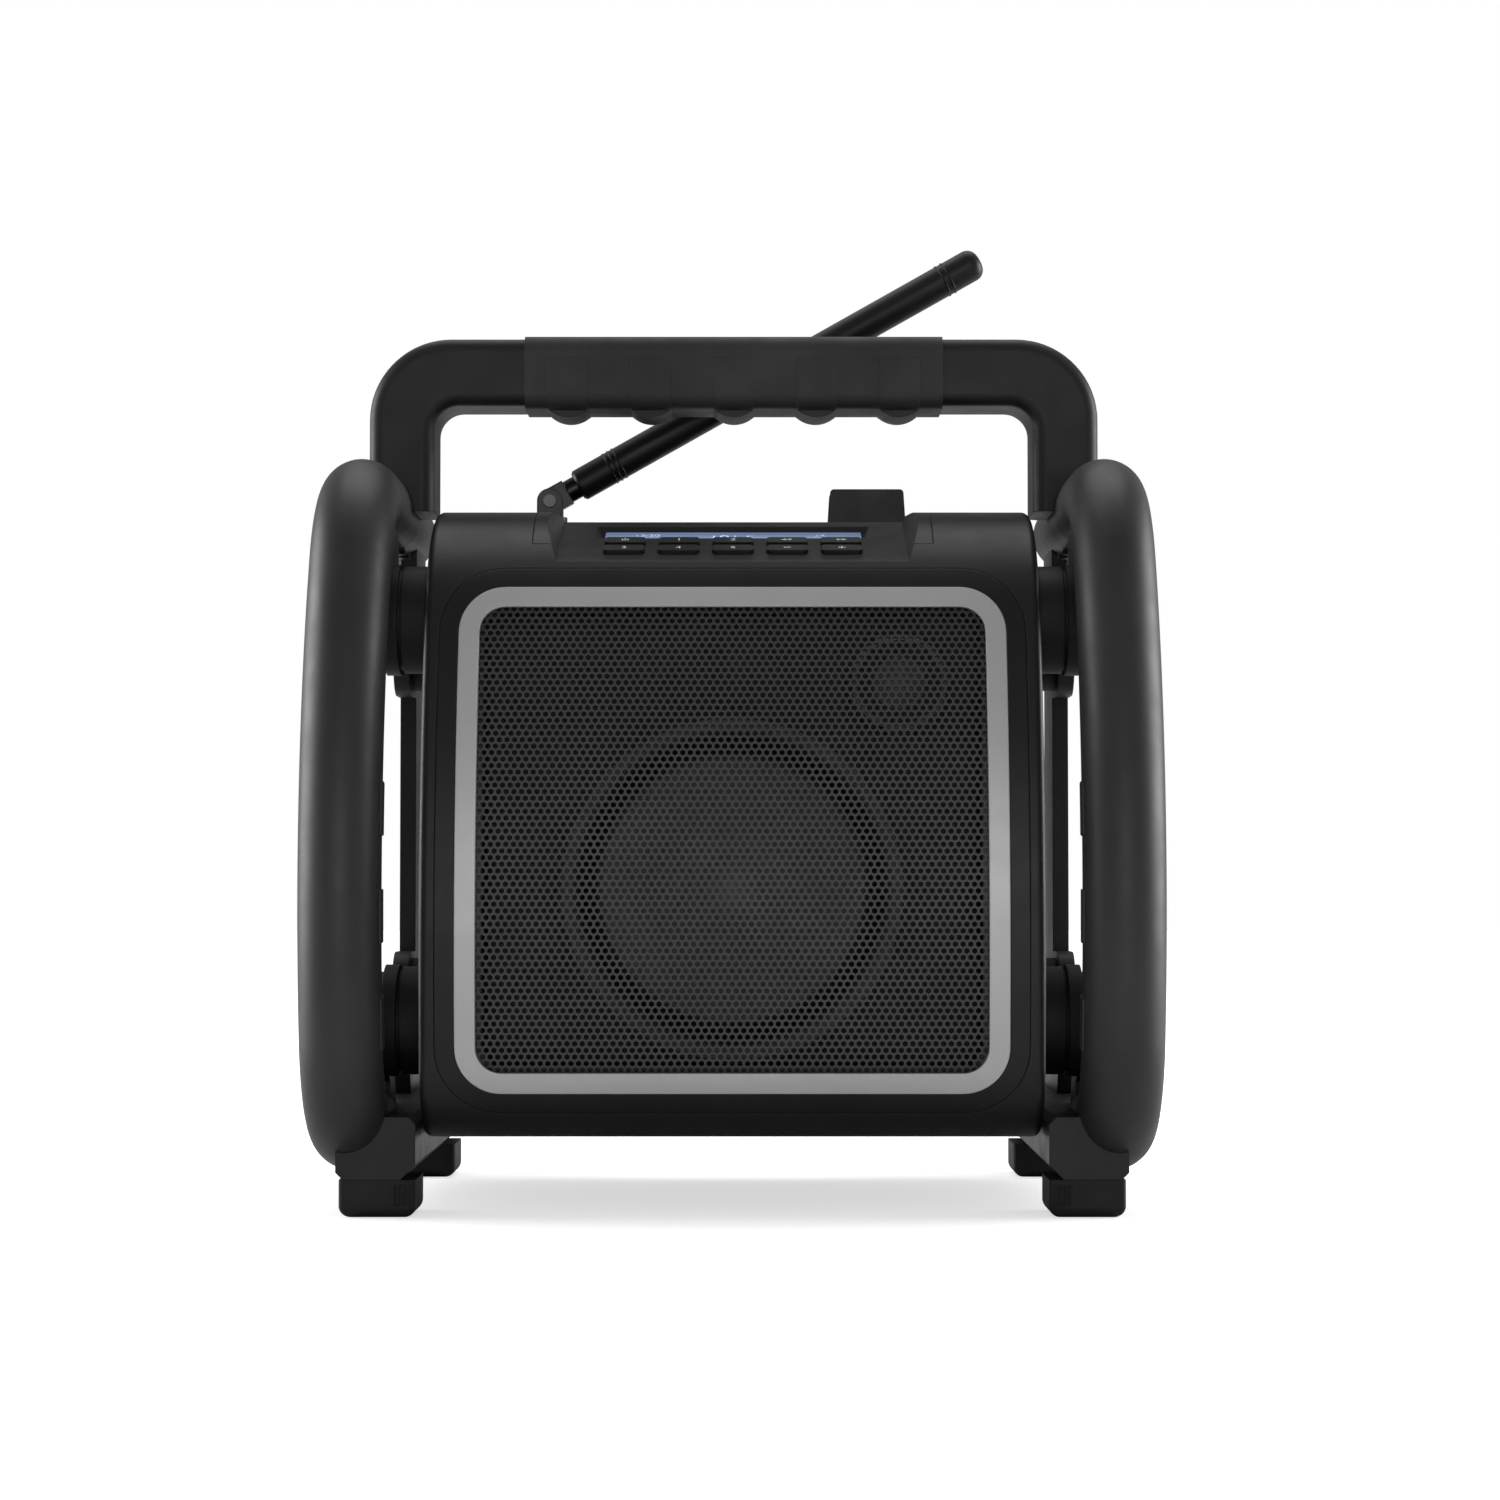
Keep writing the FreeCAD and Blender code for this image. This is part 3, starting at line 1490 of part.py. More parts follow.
def socket_panel():
    """The plate with the power inlet and the audio jack."""
    piece = Piece("socket_panel")
    gap = S.piece_gap
    floor = S.case_rear - S.socket_depth
    middle = (S.socket_low + S.socket_high) / 2
    plate = rectangle(-S.socket_half + gap, S.socket_low + gap, S.socket_half - gap,
                      S.socket_high - gap)
    face = floor + S.socket_panel
    piece.add("front", plate, floor, face)
    inlet = (-S.socket_spacing, middle)
    jack = (S.socket_spacing, middle)
    collars = [Disc(*inlet, S.inlet_radius + S.collar_wall),
               Disc(*jack, S.jack_radius + S.collar_wall)]
    piece.add("front", collars, face, face + S.collar_height)
    holes = [Disc(*inlet, S.inlet_radius), Disc(*jack, S.jack_radius)]
    piece.cut("front", holes, floor + S.surround_skin, FAR)
    return piece.body


def socket_cover():
    """The rubber flap over the sockets, hinged along its upper edge."""
    piece = Piece("socket_cover")
    piece.add("front", cover_rectangle(0), S.case_rear - S.cover_thickness, S.case_rear)
    cover_hinge().leaf(piece)
    return piece.body


def build_pieces():
    """Make every piece and give them back in order."""
    pieces = [
        front_shell(), rear_shell(), case_screws(), front_bezel(), trim_ring(),
        speaker_grille(), speaker_baffle(), woofer_frame(), woofer_surround(), woofer_cone(),
        woofer_dust_cap(), woofer_magnet(), tweeter_body(), tweeter_dome(), control_panel(),
        display_window(), display_module(), keypad_board(), amplifier_board(), frame_bolts(),
        carry_handle(), handle_grip(), hinge_pins(), antenna_swivel(),
        antenna_pivot_screw(), antenna_knuckle(), antenna_rod(), antenna_tip(),
        antenna_clip(), battery_door(), battery_pack(), battery_latch(), socket_panel(),
        socket_cover(),
    ]
    for word, side in (("left", -1), ("right", 1)):
        tube = bumper_tube(f"bumper_tube_{word}", side)
        pieces += [
            tube, upper_rail(f"upper_rail_{word}", side),
            lower_rail(f"lower_rail_{word}", side, tube),
            front_brackets(f"front_brackets_{word}", side),
            rear_side_plate(f"rear_side_plate_{word}", side),
            shock_mounts(f"shock_mounts_{word}", side),
            foot(f"foot_front_{word}", side, S.foot_front),
            foot(f"foot_rear_{word}", side, S.foot_rear),
        ]
    for word, row in (("front", S.front_row), ("rear", S.rear_row)):
        for column in range(5):
            pieces.append(button(f"button_{word}_{column + 1}", column - 2, row))
    return pieces


def check_document():
    """Stop if any object of the document failed."""
    for item in doc.Objects:
        if "Invalid" in item.State or "Error" in item.State:
            raise RuntimeError(f"{item.Name} of {item.Label}: {item.State}")


def write_pieces(pieces):
    """Check each piece's shape and write it to its own file."""
    os.makedirs("parts", exist_ok=True)
    for piece in pieces:
        if piece.Shape.isNull() or not piece.Shape.isValid():
            raise RuntimeError(f"{piece.Label} has no valid shape")
    for piece in pieces:
        piece.Shape.exportStep(f"parts/{piece.Label}.step")


all_pieces = build_pieces()
doc.recompute()
check_document()
write_pieces(all_pieces)
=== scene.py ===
"""Looks of a jobsite radio: its finishes, perforated grille, printed keys and display."""
import itertools
import logging
import math
from dataclasses import dataclass, field
from enum import Enum

import bmesh
import bpy
from mathutils import Matrix, Vector


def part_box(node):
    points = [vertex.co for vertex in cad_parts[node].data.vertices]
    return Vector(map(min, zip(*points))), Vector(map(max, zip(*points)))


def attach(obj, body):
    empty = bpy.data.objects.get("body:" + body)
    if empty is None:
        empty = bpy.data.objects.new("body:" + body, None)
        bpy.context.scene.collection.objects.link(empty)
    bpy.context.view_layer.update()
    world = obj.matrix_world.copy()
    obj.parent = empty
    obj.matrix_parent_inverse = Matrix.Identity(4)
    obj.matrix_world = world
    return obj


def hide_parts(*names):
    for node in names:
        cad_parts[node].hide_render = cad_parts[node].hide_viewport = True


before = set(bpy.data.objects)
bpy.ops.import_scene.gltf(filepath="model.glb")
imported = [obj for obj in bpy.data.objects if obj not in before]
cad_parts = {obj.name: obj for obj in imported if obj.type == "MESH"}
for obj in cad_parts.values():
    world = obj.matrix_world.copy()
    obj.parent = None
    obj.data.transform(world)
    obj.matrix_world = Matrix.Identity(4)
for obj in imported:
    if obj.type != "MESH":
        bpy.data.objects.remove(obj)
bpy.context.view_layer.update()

LOG = logging.getLogger("radio")
MM = 0.001
TONE_PATCH = 35 * MM
MARK_PATCH = 12 * MM
GLOW_PATCH = 30 * MM
NOISE_SPAN = (0.3, 0.7)
GLOSS_SWING = 0.1
GLOW_DIM = 0.75
COAT_ROUGHNESS = 0.25
TONE_DETAIL = 4
MARK_DETAIL = 6
GRAIN_DETAIL = 3
GLOW_DETAIL = 2
EDGE_SAMPLES = 4
DOUBLE = 0.001 * MM
SMOOTH_ANGLE = math.radians(35)


class Side(Enum):
    """The two sides of the radio, seen from the front."""

    LEFT = -1
    RIGHT = 1


class Symbol(Enum):
    """The generic marks printed on the keys."""

    POWER = "power"
    BACK = "back"
    AHEAD = "ahead"
    MINUS = "minus"
    PLUS = "plus"
    NUMBER = "number"


# Finishes


@dataclass(frozen=True)
class Finish:
    """A moulded, painted or rubber surface with grain, tone and gloss that vary a little.

    Attributes:
        name: the material's name.
        colour: linear base colour.
        roughness: middle roughness.
        grain: size of the surface grain in metres.
        relief: depth of the grain in metres.
        drift: share by which the tone drifts over the piece.
        metallic: metalness.
        edge: radius by which sharp edges catch the light, in metres.
        specular: specular level.
        coat: clear coat weight.
    """

    name: str
    colour: tuple[float, float, float]
    roughness: float = 0.5
    grain: float = 0.0005
    relief: float = 0.00003
    drift: float = 0.18
    metallic: float = 0.0
    edge: float = 0.0006
    specular: float = 0.5
    coat: float = 0.0

    def make(self) -> bpy.types.Material:
        """Build the material.

        Returns:
            The node-based material.
        """
        material = bpy.data.materials.new(self.name)
        material.use_nodes = True
        nodes = material.node_tree.nodes
        shader = nodes["Principled BSDF"]
        shader.inputs["Metallic"].default_value = self.metallic
        shader.inputs["Specular IOR Level"].default_value = self.specular
        shader.inputs["Coat Weight"].default_value = self.coat
        shader.inputs["Coat Roughness"].default_value = COAT_ROUGHNESS
        self.tone(material, shader)
        self.gloss(material, shader)
        self.surface(material, shader)
        return material

    def noise(self, material: bpy.types.Material, size: float, detail: float) -> bpy.types.Node:
        """Add a noise that reads object coordinates.

        Args:
            material: the material it belongs to.
            size: size of the noise in metres.
            detail: octaves of finer noise.

        Returns:
            The noise node.
        """
        tree = material.node_tree
        place = tree.nodes.new("ShaderNodeTexCoord")
        noise = tree.nodes.new("ShaderNodeTexNoise")
        noise.inputs["Scale"].default_value = 1 / size
        noise.inputs["Detail"].default_value = detail
        tree.links.new(place.outputs["Object"], noise.inputs["Vector"])
        return noise

    def tone(self, material: bpy.types.Material, shader: bpy.types.Node) -> None:
        """Let the colour drift slowly, with a trace of dust in it.

        Args:
            material: the material it belongs to.
            shader: the surface shader that it feeds.
        """
        tree = material.node_tree
        slow = self.noise(material, TONE_PATCH, TONE_DETAIL)
        ramp = tree.nodes.new("ShaderNodeValToRGB")
        low = [value * (1 - self.drift) for value in self.colour]
        high = [min(1.0, value * (1 + self.drift)) for value in self.colour]
        ramp.color_ramp.elements[0].position = NOISE_SPAN[0]
        ramp.color_ramp.elements[0].color = (*low, 1)
        ramp.color_ramp.elements[1].position = NOISE_SPAN[1]
        ramp.color_ramp.elements[1].color = (*high, 1)
        tree.links.new(slow.outputs["Fac"], ramp.inputs["Fac"])
        tree.links.new(ramp.outputs["Color"], shader.inputs["Base Color"])

    def gloss(self, material: bpy.types.Material, shader: bpy.types.Node) -> None:
        """Let the roughness vary with handling marks.

        Args:
            material: the material it belongs to.
            shader: the surface shader that it feeds.
        """
        tree = material.node_tree
        marks = self.noise(material, MARK_PATCH, MARK_DETAIL)
        span = tree.nodes.new("ShaderNodeMapRange")
        span.inputs["From Min"].default_value = NOISE_SPAN[0]
        span.inputs["From Max"].default_value = NOISE_SPAN[1]
        span.inputs["To Min"].default_value = self.roughness * (1 - GLOSS_SWING)
        span.inputs["To Max"].default_value = min(1.0, self.roughness * (1 + GLOSS_SWING))
        tree.links.new(marks.outputs["Fac"], span.inputs["Value"])
        tree.links.new(span.outputs["Result"], shader.inputs["Roughness"])

    def surface(self, material: bpy.types.Material, shader: bpy.types.Node) -> None:
        """Add the grain, over edges that are a little rounded.

        Args:
            material: the material it belongs to.
            shader: the surface shader that it feeds.
        """
        tree = material.node_tree
        fine = self.noise(material, self.grain, GRAIN_DETAIL)
        bump = tree.nodes.new("ShaderNodeBump")
        bump.inputs["Strength"].default_value = 1.0
        bump.inputs["Distance"].default_value = self.relief
        tree.links.new(fine.outputs["Fac"], bump.inputs["Height"])
        if self.edge > 0:
            bevel = tree.nodes.new("ShaderNodeBevel")
            bevel.samples = EDGE_SAMPLES
            bevel.inputs["Radius"].default_value = self.edge
            tree.links.new(bevel.outputs["Normal"], bump.inputs["Normal"])
        tree.links.new(bump.outputs["Normal"], shader.inputs["Normal"])


@dataclass(frozen=True)
class Glow(Finish):
    """A backlit surface whose light varies softly.

    Attributes:
        strength: how strongly it shines.
    """

    strength: float = 0.8

    def make(self) -> bpy.types.Material:
        """Build the material.

        Returns:
            The node-based material.
        """
        material = super().make()
        tree = material.node_tree
        shader = tree.nodes["Principled BSDF"]
        slow = self.noise(material, GLOW_PATCH, GLOW_DETAIL)
        ramp = tree.nodes.new("ShaderNodeValToRGB")
        ramp.color_ramp.elements[0].color = (*[value * GLOW_DIM for value in self.colour], 1)
        ramp.color_ramp.elements[1].color = (*self.colour, 1)
        tree.links.new(slow.outputs["Fac"], ramp.inputs["Fac"])
        tree.links.new(ramp.outputs["Color"], shader.inputs["Emission Color"])
        shader.inputs["Emission Strength"].default_value = self.strength
        return material


CABINET = Finish("cabinet_plastic", (0.0105, 0.0105, 0.011), 0.40, 0.0006, 0.00002, specular=0.3)
FRAME = Finish("frame_plastic", (0.008, 0.008, 0.0082), 0.38, 0.0006, 0.00002, specular=0.3)
TRIM = Finish("trim_paint", (0.52, 0.52, 0.52), 0.36, 0.0003, 0.000004, 0.03, 0.25)
GRILLE = Finish("grille_powder", (0.042, 0.042, 0.042), 0.5, 0.0003, 0.00001, 0.12, 0.0, 0.0)
PANEL = Finish("panel_plastic", (0.011, 0.011, 0.0115), 0.40, 0.0005, 0.00002, specular=0.3)
KEY = Finish("key_plastic", (0.007, 0.007, 0.0075), 0.32, 0.0004, 0.00001, specular=0.3)
PRINT = Finish("white_print", (0.88, 0.90, 0.92), 0.5, 0.0003, 0.000005, 0.05, edge=0.0)
BUMPER = Finish("bumper_rubber", (0.020, 0.020, 0.0205), 0.46, 0.0005, 0.00002, specular=0.45)
RAIL = Finish("rail_plastic", (0.013, 0.013, 0.0135), 0.44, 0.0006, 0.00002, specular=0.3)
HANDLE = Finish("handle_plastic", (0.014, 0.014, 0.0145), 0.46, 0.0006, 0.000025, specular=0.3)
GRIP = Finish("grip_rubber", (0.026, 0.026, 0.0265), 0.62, 0.0004, 0.00003)
MOUNT = Finish("mount_rubber", (0.007, 0.007, 0.007), 0.58, 0.0006, 0.00003, specular=0.3)
FOOT = Finish("foot_rubber", (0.011, 0.011, 0.011), 0.6, 0.0005, 0.00004, specular=0.3)
ROD = Finish("antenna_rubber", (0.008, 0.008, 0.0082), 0.40, 0.0004, 0.00001, specular=0.3)
BLACK_METAL = Finish("black_metal", (0.03, 0.03, 0.03), 0.3, 0.0003, 0.000005, 0.1, 0.9)
STEEL = Finish("blackened_steel", (0.10, 0.10, 0.10), 0.35, 0.0003, 0.000008, 0.15, 1.0)
INNER = Finish("inner_plastic", (0.006, 0.006, 0.006), 0.6, 0.0008, 0.00003, edge=0.0)
CONE = Finish("speaker_paper", (0.16, 0.16, 0.16), 0.5, 0.0004, 0.00004, 0.15, edge=0.0)
SURROUND = Finish("speaker_rubber", (0.012, 0.012, 0.012), 0.4, 0.0005, 0.00001, edge=0.0)
BASKET = Finish("basket_paint", (0.02, 0.02, 0.02), 0.4, 0.0005, 0.00001, edge=0.0)
IRON = Finish("magnet_iron", (0.05, 0.05, 0.05), 0.5, 0.0006, 0.00002, edge=0.0)
BOARD = Finish("circuit_board", (0.01, 0.05, 0.02), 0.35, 0.001, 0.00001, edge=0.0)
BATTERY = Finish("battery_plastic", (0.02, 0.02, 0.022), 0.5, 0.0006, 0.00002)
COVER = Finish("cover_rubber", (0.010, 0.010, 0.010), 0.62, 0.0005, 0.00003)
LCD = Glow("display_light", (0.22, 0.30, 0.50), 0.3, 0.0004, 0.000002, 0.05, edge=0.0,
           coat=1.0, strength=0.8)
LCD_LIGHT = Glow("display_figures", (0.80, 0.85, 1.0), 0.4, 0.0004, 0.000002, edge=0.0,
                 strength=0.9)

NODE_FINISHES = {
    "front_shell": CABINET, "rear_shell": CABINET, "front_bezel": FRAME, "trim_ring": TRIM,
    "speaker_grille": GRILLE, "speaker_baffle": INNER, "woofer_frame": BASKET,
    "woofer_surround": SURROUND, "woofer_cone": CONE, "woofer_dust_cap": CONE,
    "woofer_magnet": IRON, "tweeter_body": BASKET, "tweeter_dome": CONE,
    "control_panel": PANEL, "display_window": LCD, "display_module": LCD,
    "keypad_board": BOARD, "amplifier_board": BOARD, "frame_bolts": STEEL,
    "case_screws": STEEL, "hinge_pins": STEEL, "carry_handle": HANDLE, "handle_grip": GRIP,
    "antenna_swivel": BLACK_METAL, "antenna_pivot_screw": STEEL,
    "antenna_knuckle": BLACK_METAL, "antenna_rod": ROD, "antenna_tip": ROD,
    "antenna_clip": CABINET, "battery_door": CABINET, "battery_pack": BATTERY,
    "battery_latch": KEY, "socket_panel": INNER, "socket_cover": COVER,
    "bumper_tube": BUMPER, "upper_rail": RAIL, "lower_rail": RAIL, "front_brackets": RAIL,
    "rear_side_plate": RAIL, "shock_mounts": MOUNT, "foot": FOOT, "button": KEY,
}


class Paintbox:
    """Makes each finish once and dresses pieces in it."""

    def __init__(self) -> None:
        """Start with no materials made."""
        self.made: dict[str, bpy.types.Material] = {}

    def get(self, finish: Finish) -> bpy.types.Material:
        """Give the material of a finish, making it the first time.

        Args:
            finish: the finish asked for.

        Returns:
            Its material.
        """
        if finish.name not in self.made:
            self.made[finish.name] = finish.make()
        return self.made[finish.name]

    def dress(self, piece: bpy.types.Object, finish: Finish) -> None:
        """Replace a piece's materials with one finish.

        Args:
            piece: the object.
            finish: what it is dressed in.
        """
        piece.data.materials.clear()
        piece.data.materials.append(self.get(finish))

    def dress_nodes(self) -> None:
        """Dress every node of the frame by its name."""
        for name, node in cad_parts.items():
            key = max((k for k in NODE_FINISHES if name.startswith(k)), key=len)
            self.dress(node, NODE_FINISHES[key])


PAINT = Paintbox()


# Shared modelling steps


def deselect() -> None:
    """Deselect every object."""
    bpy.ops.object.select_all(action="DESELECT")


def only(piece: bpy.types.Object) -> None:
    """Select one object alone and make it active.

    Args:
        piece: the object.
    """
    deselect()
    piece.select_set(True)
    bpy.context.view_layer.objects.active = piece


def bake_place(piece: bpy.types.Object) -> bpy.types.Object:
    """Put a piece's place, turn and size into its mesh.

    Args:
        piece: the object.

    Returns:
        The same object.
    """
    only(piece)
    bpy.ops.object.transform_apply(location=True, rotation=True, scale=True)
    return piece


def edit_all(piece: bpy.types.Object) -> None:
    """Open a piece's mesh for editing with everything selected.

    Args:
        piece: the object.
    """
    only(piece)
    bpy.ops.object.mode_set(mode="EDIT")
    bpy.ops.mesh.select_all(action="SELECT")


def settle(piece: bpy.types.Object, name: str) -> bpy.types.Object:
    """Name a piece and put its place into its mesh.

    Args:
        piece: the finished object.
        name: its name.

    Returns:
        The same object.
    """
    bake_place(piece)
    piece.name = name
    piece.data.name = name
    return piece


def tidy_faces(piece: bpy.types.Object) -> None:
    """Merge doubles and point every face outwards.

    Args:
        piece: the object.
    """
    edit_all(piece)
    bpy.ops.mesh.remove_doubles(threshold=DOUBLE)
    bpy.ops.mesh.normals_make_consistent(inside=False)
    bpy.ops.object.mode_set(mode="OBJECT")


def modify(piece: bpy.types.Object, kind: str, **settings: object) -> None:
    """Add a modifier, set it and apply it.

    Args:
        piece: the object it shapes.
        kind: the modifier's type.
        **settings: its properties.
    """
    only(piece)
    modifier = piece.modifiers.new(kind.title(), kind)
    for key, value in settings.items():
        setattr(modifier, key, value)
    bpy.ops.object.modifier_apply(modifier=modifier.name)


def join(pieces: list[bpy.types.Object], name: str) -> bpy.types.Object:
    """Join several meshes into one piece.

    Args:
        pieces: the meshes.
        name: the new piece's name.

    Returns:
        The joined object.
    """
    only(pieces[0])
    for piece in pieces:
        piece.select_set(True)
    if len(pieces) > 1:
        bpy.ops.object.join()
    return settle(bpy.context.view_layer.objects.active, name)


def finish_piece(piece: bpy.types.Object, finish: Finish, body: str) -> bpy.types.Object:
    """Smooth, dress and carry a piece on its body.

    Args:
        piece: the object.
        finish: what it is dressed in.
        body: the body it rides on.

    Returns:
        The same object.
    """
    only(piece)
    bpy.ops.object.shade_smooth_by_angle(angle=SMOOTH_ANGLE)
    PAINT.dress(piece, finish)
    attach(piece, body)
    LOG.info("made %s: %d faces", piece.name, len(piece.data.polygons))
    return piece


# Front grille


@dataclass
class FaceCurve:
    """The bowed face of the cabinet seen from the side."""

    radius: float = 330 * MM
    reach: float = 85 * MM
    height: float = 98 * MM
    top_radius: float = 60 * MM
    top: float = 246 * MM

    def depth(self, z: float, inset: float) -> float:
        """The face's Y at a height, set back by an inset.

        Args:
            z: the height.
            inset: how far behind the face.

        Returns:
            The Y coordinate.
        """
        centre_y = self.radius - self.reach
        corner_z = self.top - self.top_radius
        reach = self.radius - self.top_radius
        corner_y = centre_y - math.sqrt(reach**2 - (corner_z - self.height)**2)
        meet_z = self.height + (corner_z - self.height) * (self.radius - inset) / reach
        if z > meet_z:
            return corner_y - math.sqrt((self.top_radius - inset)**2 - (z - corner_z)**2)
        return centre_y - math.sqrt((self.radius - inset)**2 - (z - self.height)**2)


@dataclass
class PerforatedGrille:
    """The punched steel sheet in front of the loudspeakers."""

    pitch: float = 2.6 * MM
    web: float = 0.42 * MM
    thickness: float = 0.9 * MM
    inset: float = 3.3 * MM
    margin: float = 1.4 * MM
    corner: float = 7.0 * MM
    bow_share: float = 1.03
    weld: float = 0.01 * MM
    curve: FaceCurve = field(default_factory=FaceCurve)

    def cell(self) -> bpy.types.Object:
        """Model one hexagon of sheet with its hole.

        Returns:
            The flat cell.
        """
        bpy.ops.mesh.primitive_circle_add(
            vertices=6, radius=self.pitch / math.sqrt(3), fill_type="NGON")
        cell = bpy.context.active_object
        bpy.ops.object.mode_set(mode="EDIT")
        bpy.ops.mesh.select_all(action="SELECT")
        bpy.ops.mesh.inset(thickness=self.web)
        bpy.ops.mesh.delete(type="FACE")
        bpy.ops.object.mode_set(mode="OBJECT")
        return cell

    def sheet(self) -> bpy.types.Object:
        """Repeat the cell over the whole opening, still flat.

        Returns:
            The flat sheet, centred on the origin.
        """
        low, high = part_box("speaker_grille")
        cell = self.cell()
        row = self.pitch * math.sqrt(3) / 2
        across = math.ceil((high[0] - low[0]) / self.pitch) + 1
        pairs = math.ceil((high[2] - low[2]) * self.bow_share / (2 * row)) + 1
        steps = [(across, (self.pitch, 0, 0)), (2, (self.pitch / 2, row, 0)),
                 (pairs, (0, 2 * row, 0))]
        for count, offset in steps:
            modify(cell, "ARRAY", count=count, use_relative_offset=False,
                   use_constant_offset=True, constant_offset_displace=offset,
                   use_merge_vertices=True, merge_threshold=self.weld)
        middle = Vector((across * self.pitch / 2, pairs * row, 0))
        cell.data.transform(Matrix.Translation(-middle))
        return cell

    def inside(self, x: float, z: float) -> bool:
        """Whether a point lies inside the sheet's round-cornered outline.

        Args:
            x: across.
            z: up.

        Returns:
            True for a point inside.
        """
        low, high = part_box("speaker_grille")
        half = (high[0] - low[0]) / 2 - self.margin
        bottom = low[2] + self.margin
        top = high[2] - self.margin
        dx = abs(x) - (half - self.corner)
        middle = (top + bottom) / 2
        dz = abs(z - middle) - ((top - bottom) / 2 - self.corner)
        if dx > 0 and dz > 0:
            return math.hypot(dx, dz) < self.corner
        return max(dx, dz) < self.corner

    def bend(self, sheet: bpy.types.Object) -> None:
        """Stand the flat sheet up, bow it like the face and trim its outline.

        Args:
            sheet: the flat sheet.
        """
        low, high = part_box("speaker_grille")
        start = (low[2] + high[2]) / 2
        arc = math.asin((start - self.curve.height) / self.curve.radius)
        for vertex in sheet.data.vertices:
            x, along, _ = vertex.co
            z = self.curve.height + self.curve.radius * math.sin(arc + along / self.curve.radius)
            vertex.co = (x, self.curve.depth(z, self.inset), z)
        shape = bmesh.new()
        shape.from_mesh(sheet.data)
        outside = [face for face in shape.faces
                   if not self.inside(face.calc_center_median().x, face.calc_center_median().z)]
        bmesh.ops.delete(shape, geom=outside, context="FACES")
        shape.to_mesh(sheet.data)
        shape.free()

    def build(self) -> None:
        """Model the grille in place of its plain sheet."""
        deselect()
        sheet = self.sheet()
        self.bend(sheet)
        tidy_faces(sheet)
        if sum(face.normal.y for face in sheet.data.polygons) > 0:
            edit_all(sheet)
            bpy.ops.mesh.flip_normals()
            bpy.ops.object.mode_set(mode="OBJECT")
        modify(sheet, "SOLIDIFY", thickness=self.thickness, offset=-1)
        settle(sheet, "perforated_grille")
        finish_piece(sheet, GRILLE, "cabinet")
        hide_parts("speaker_grille")


# Keypad and display


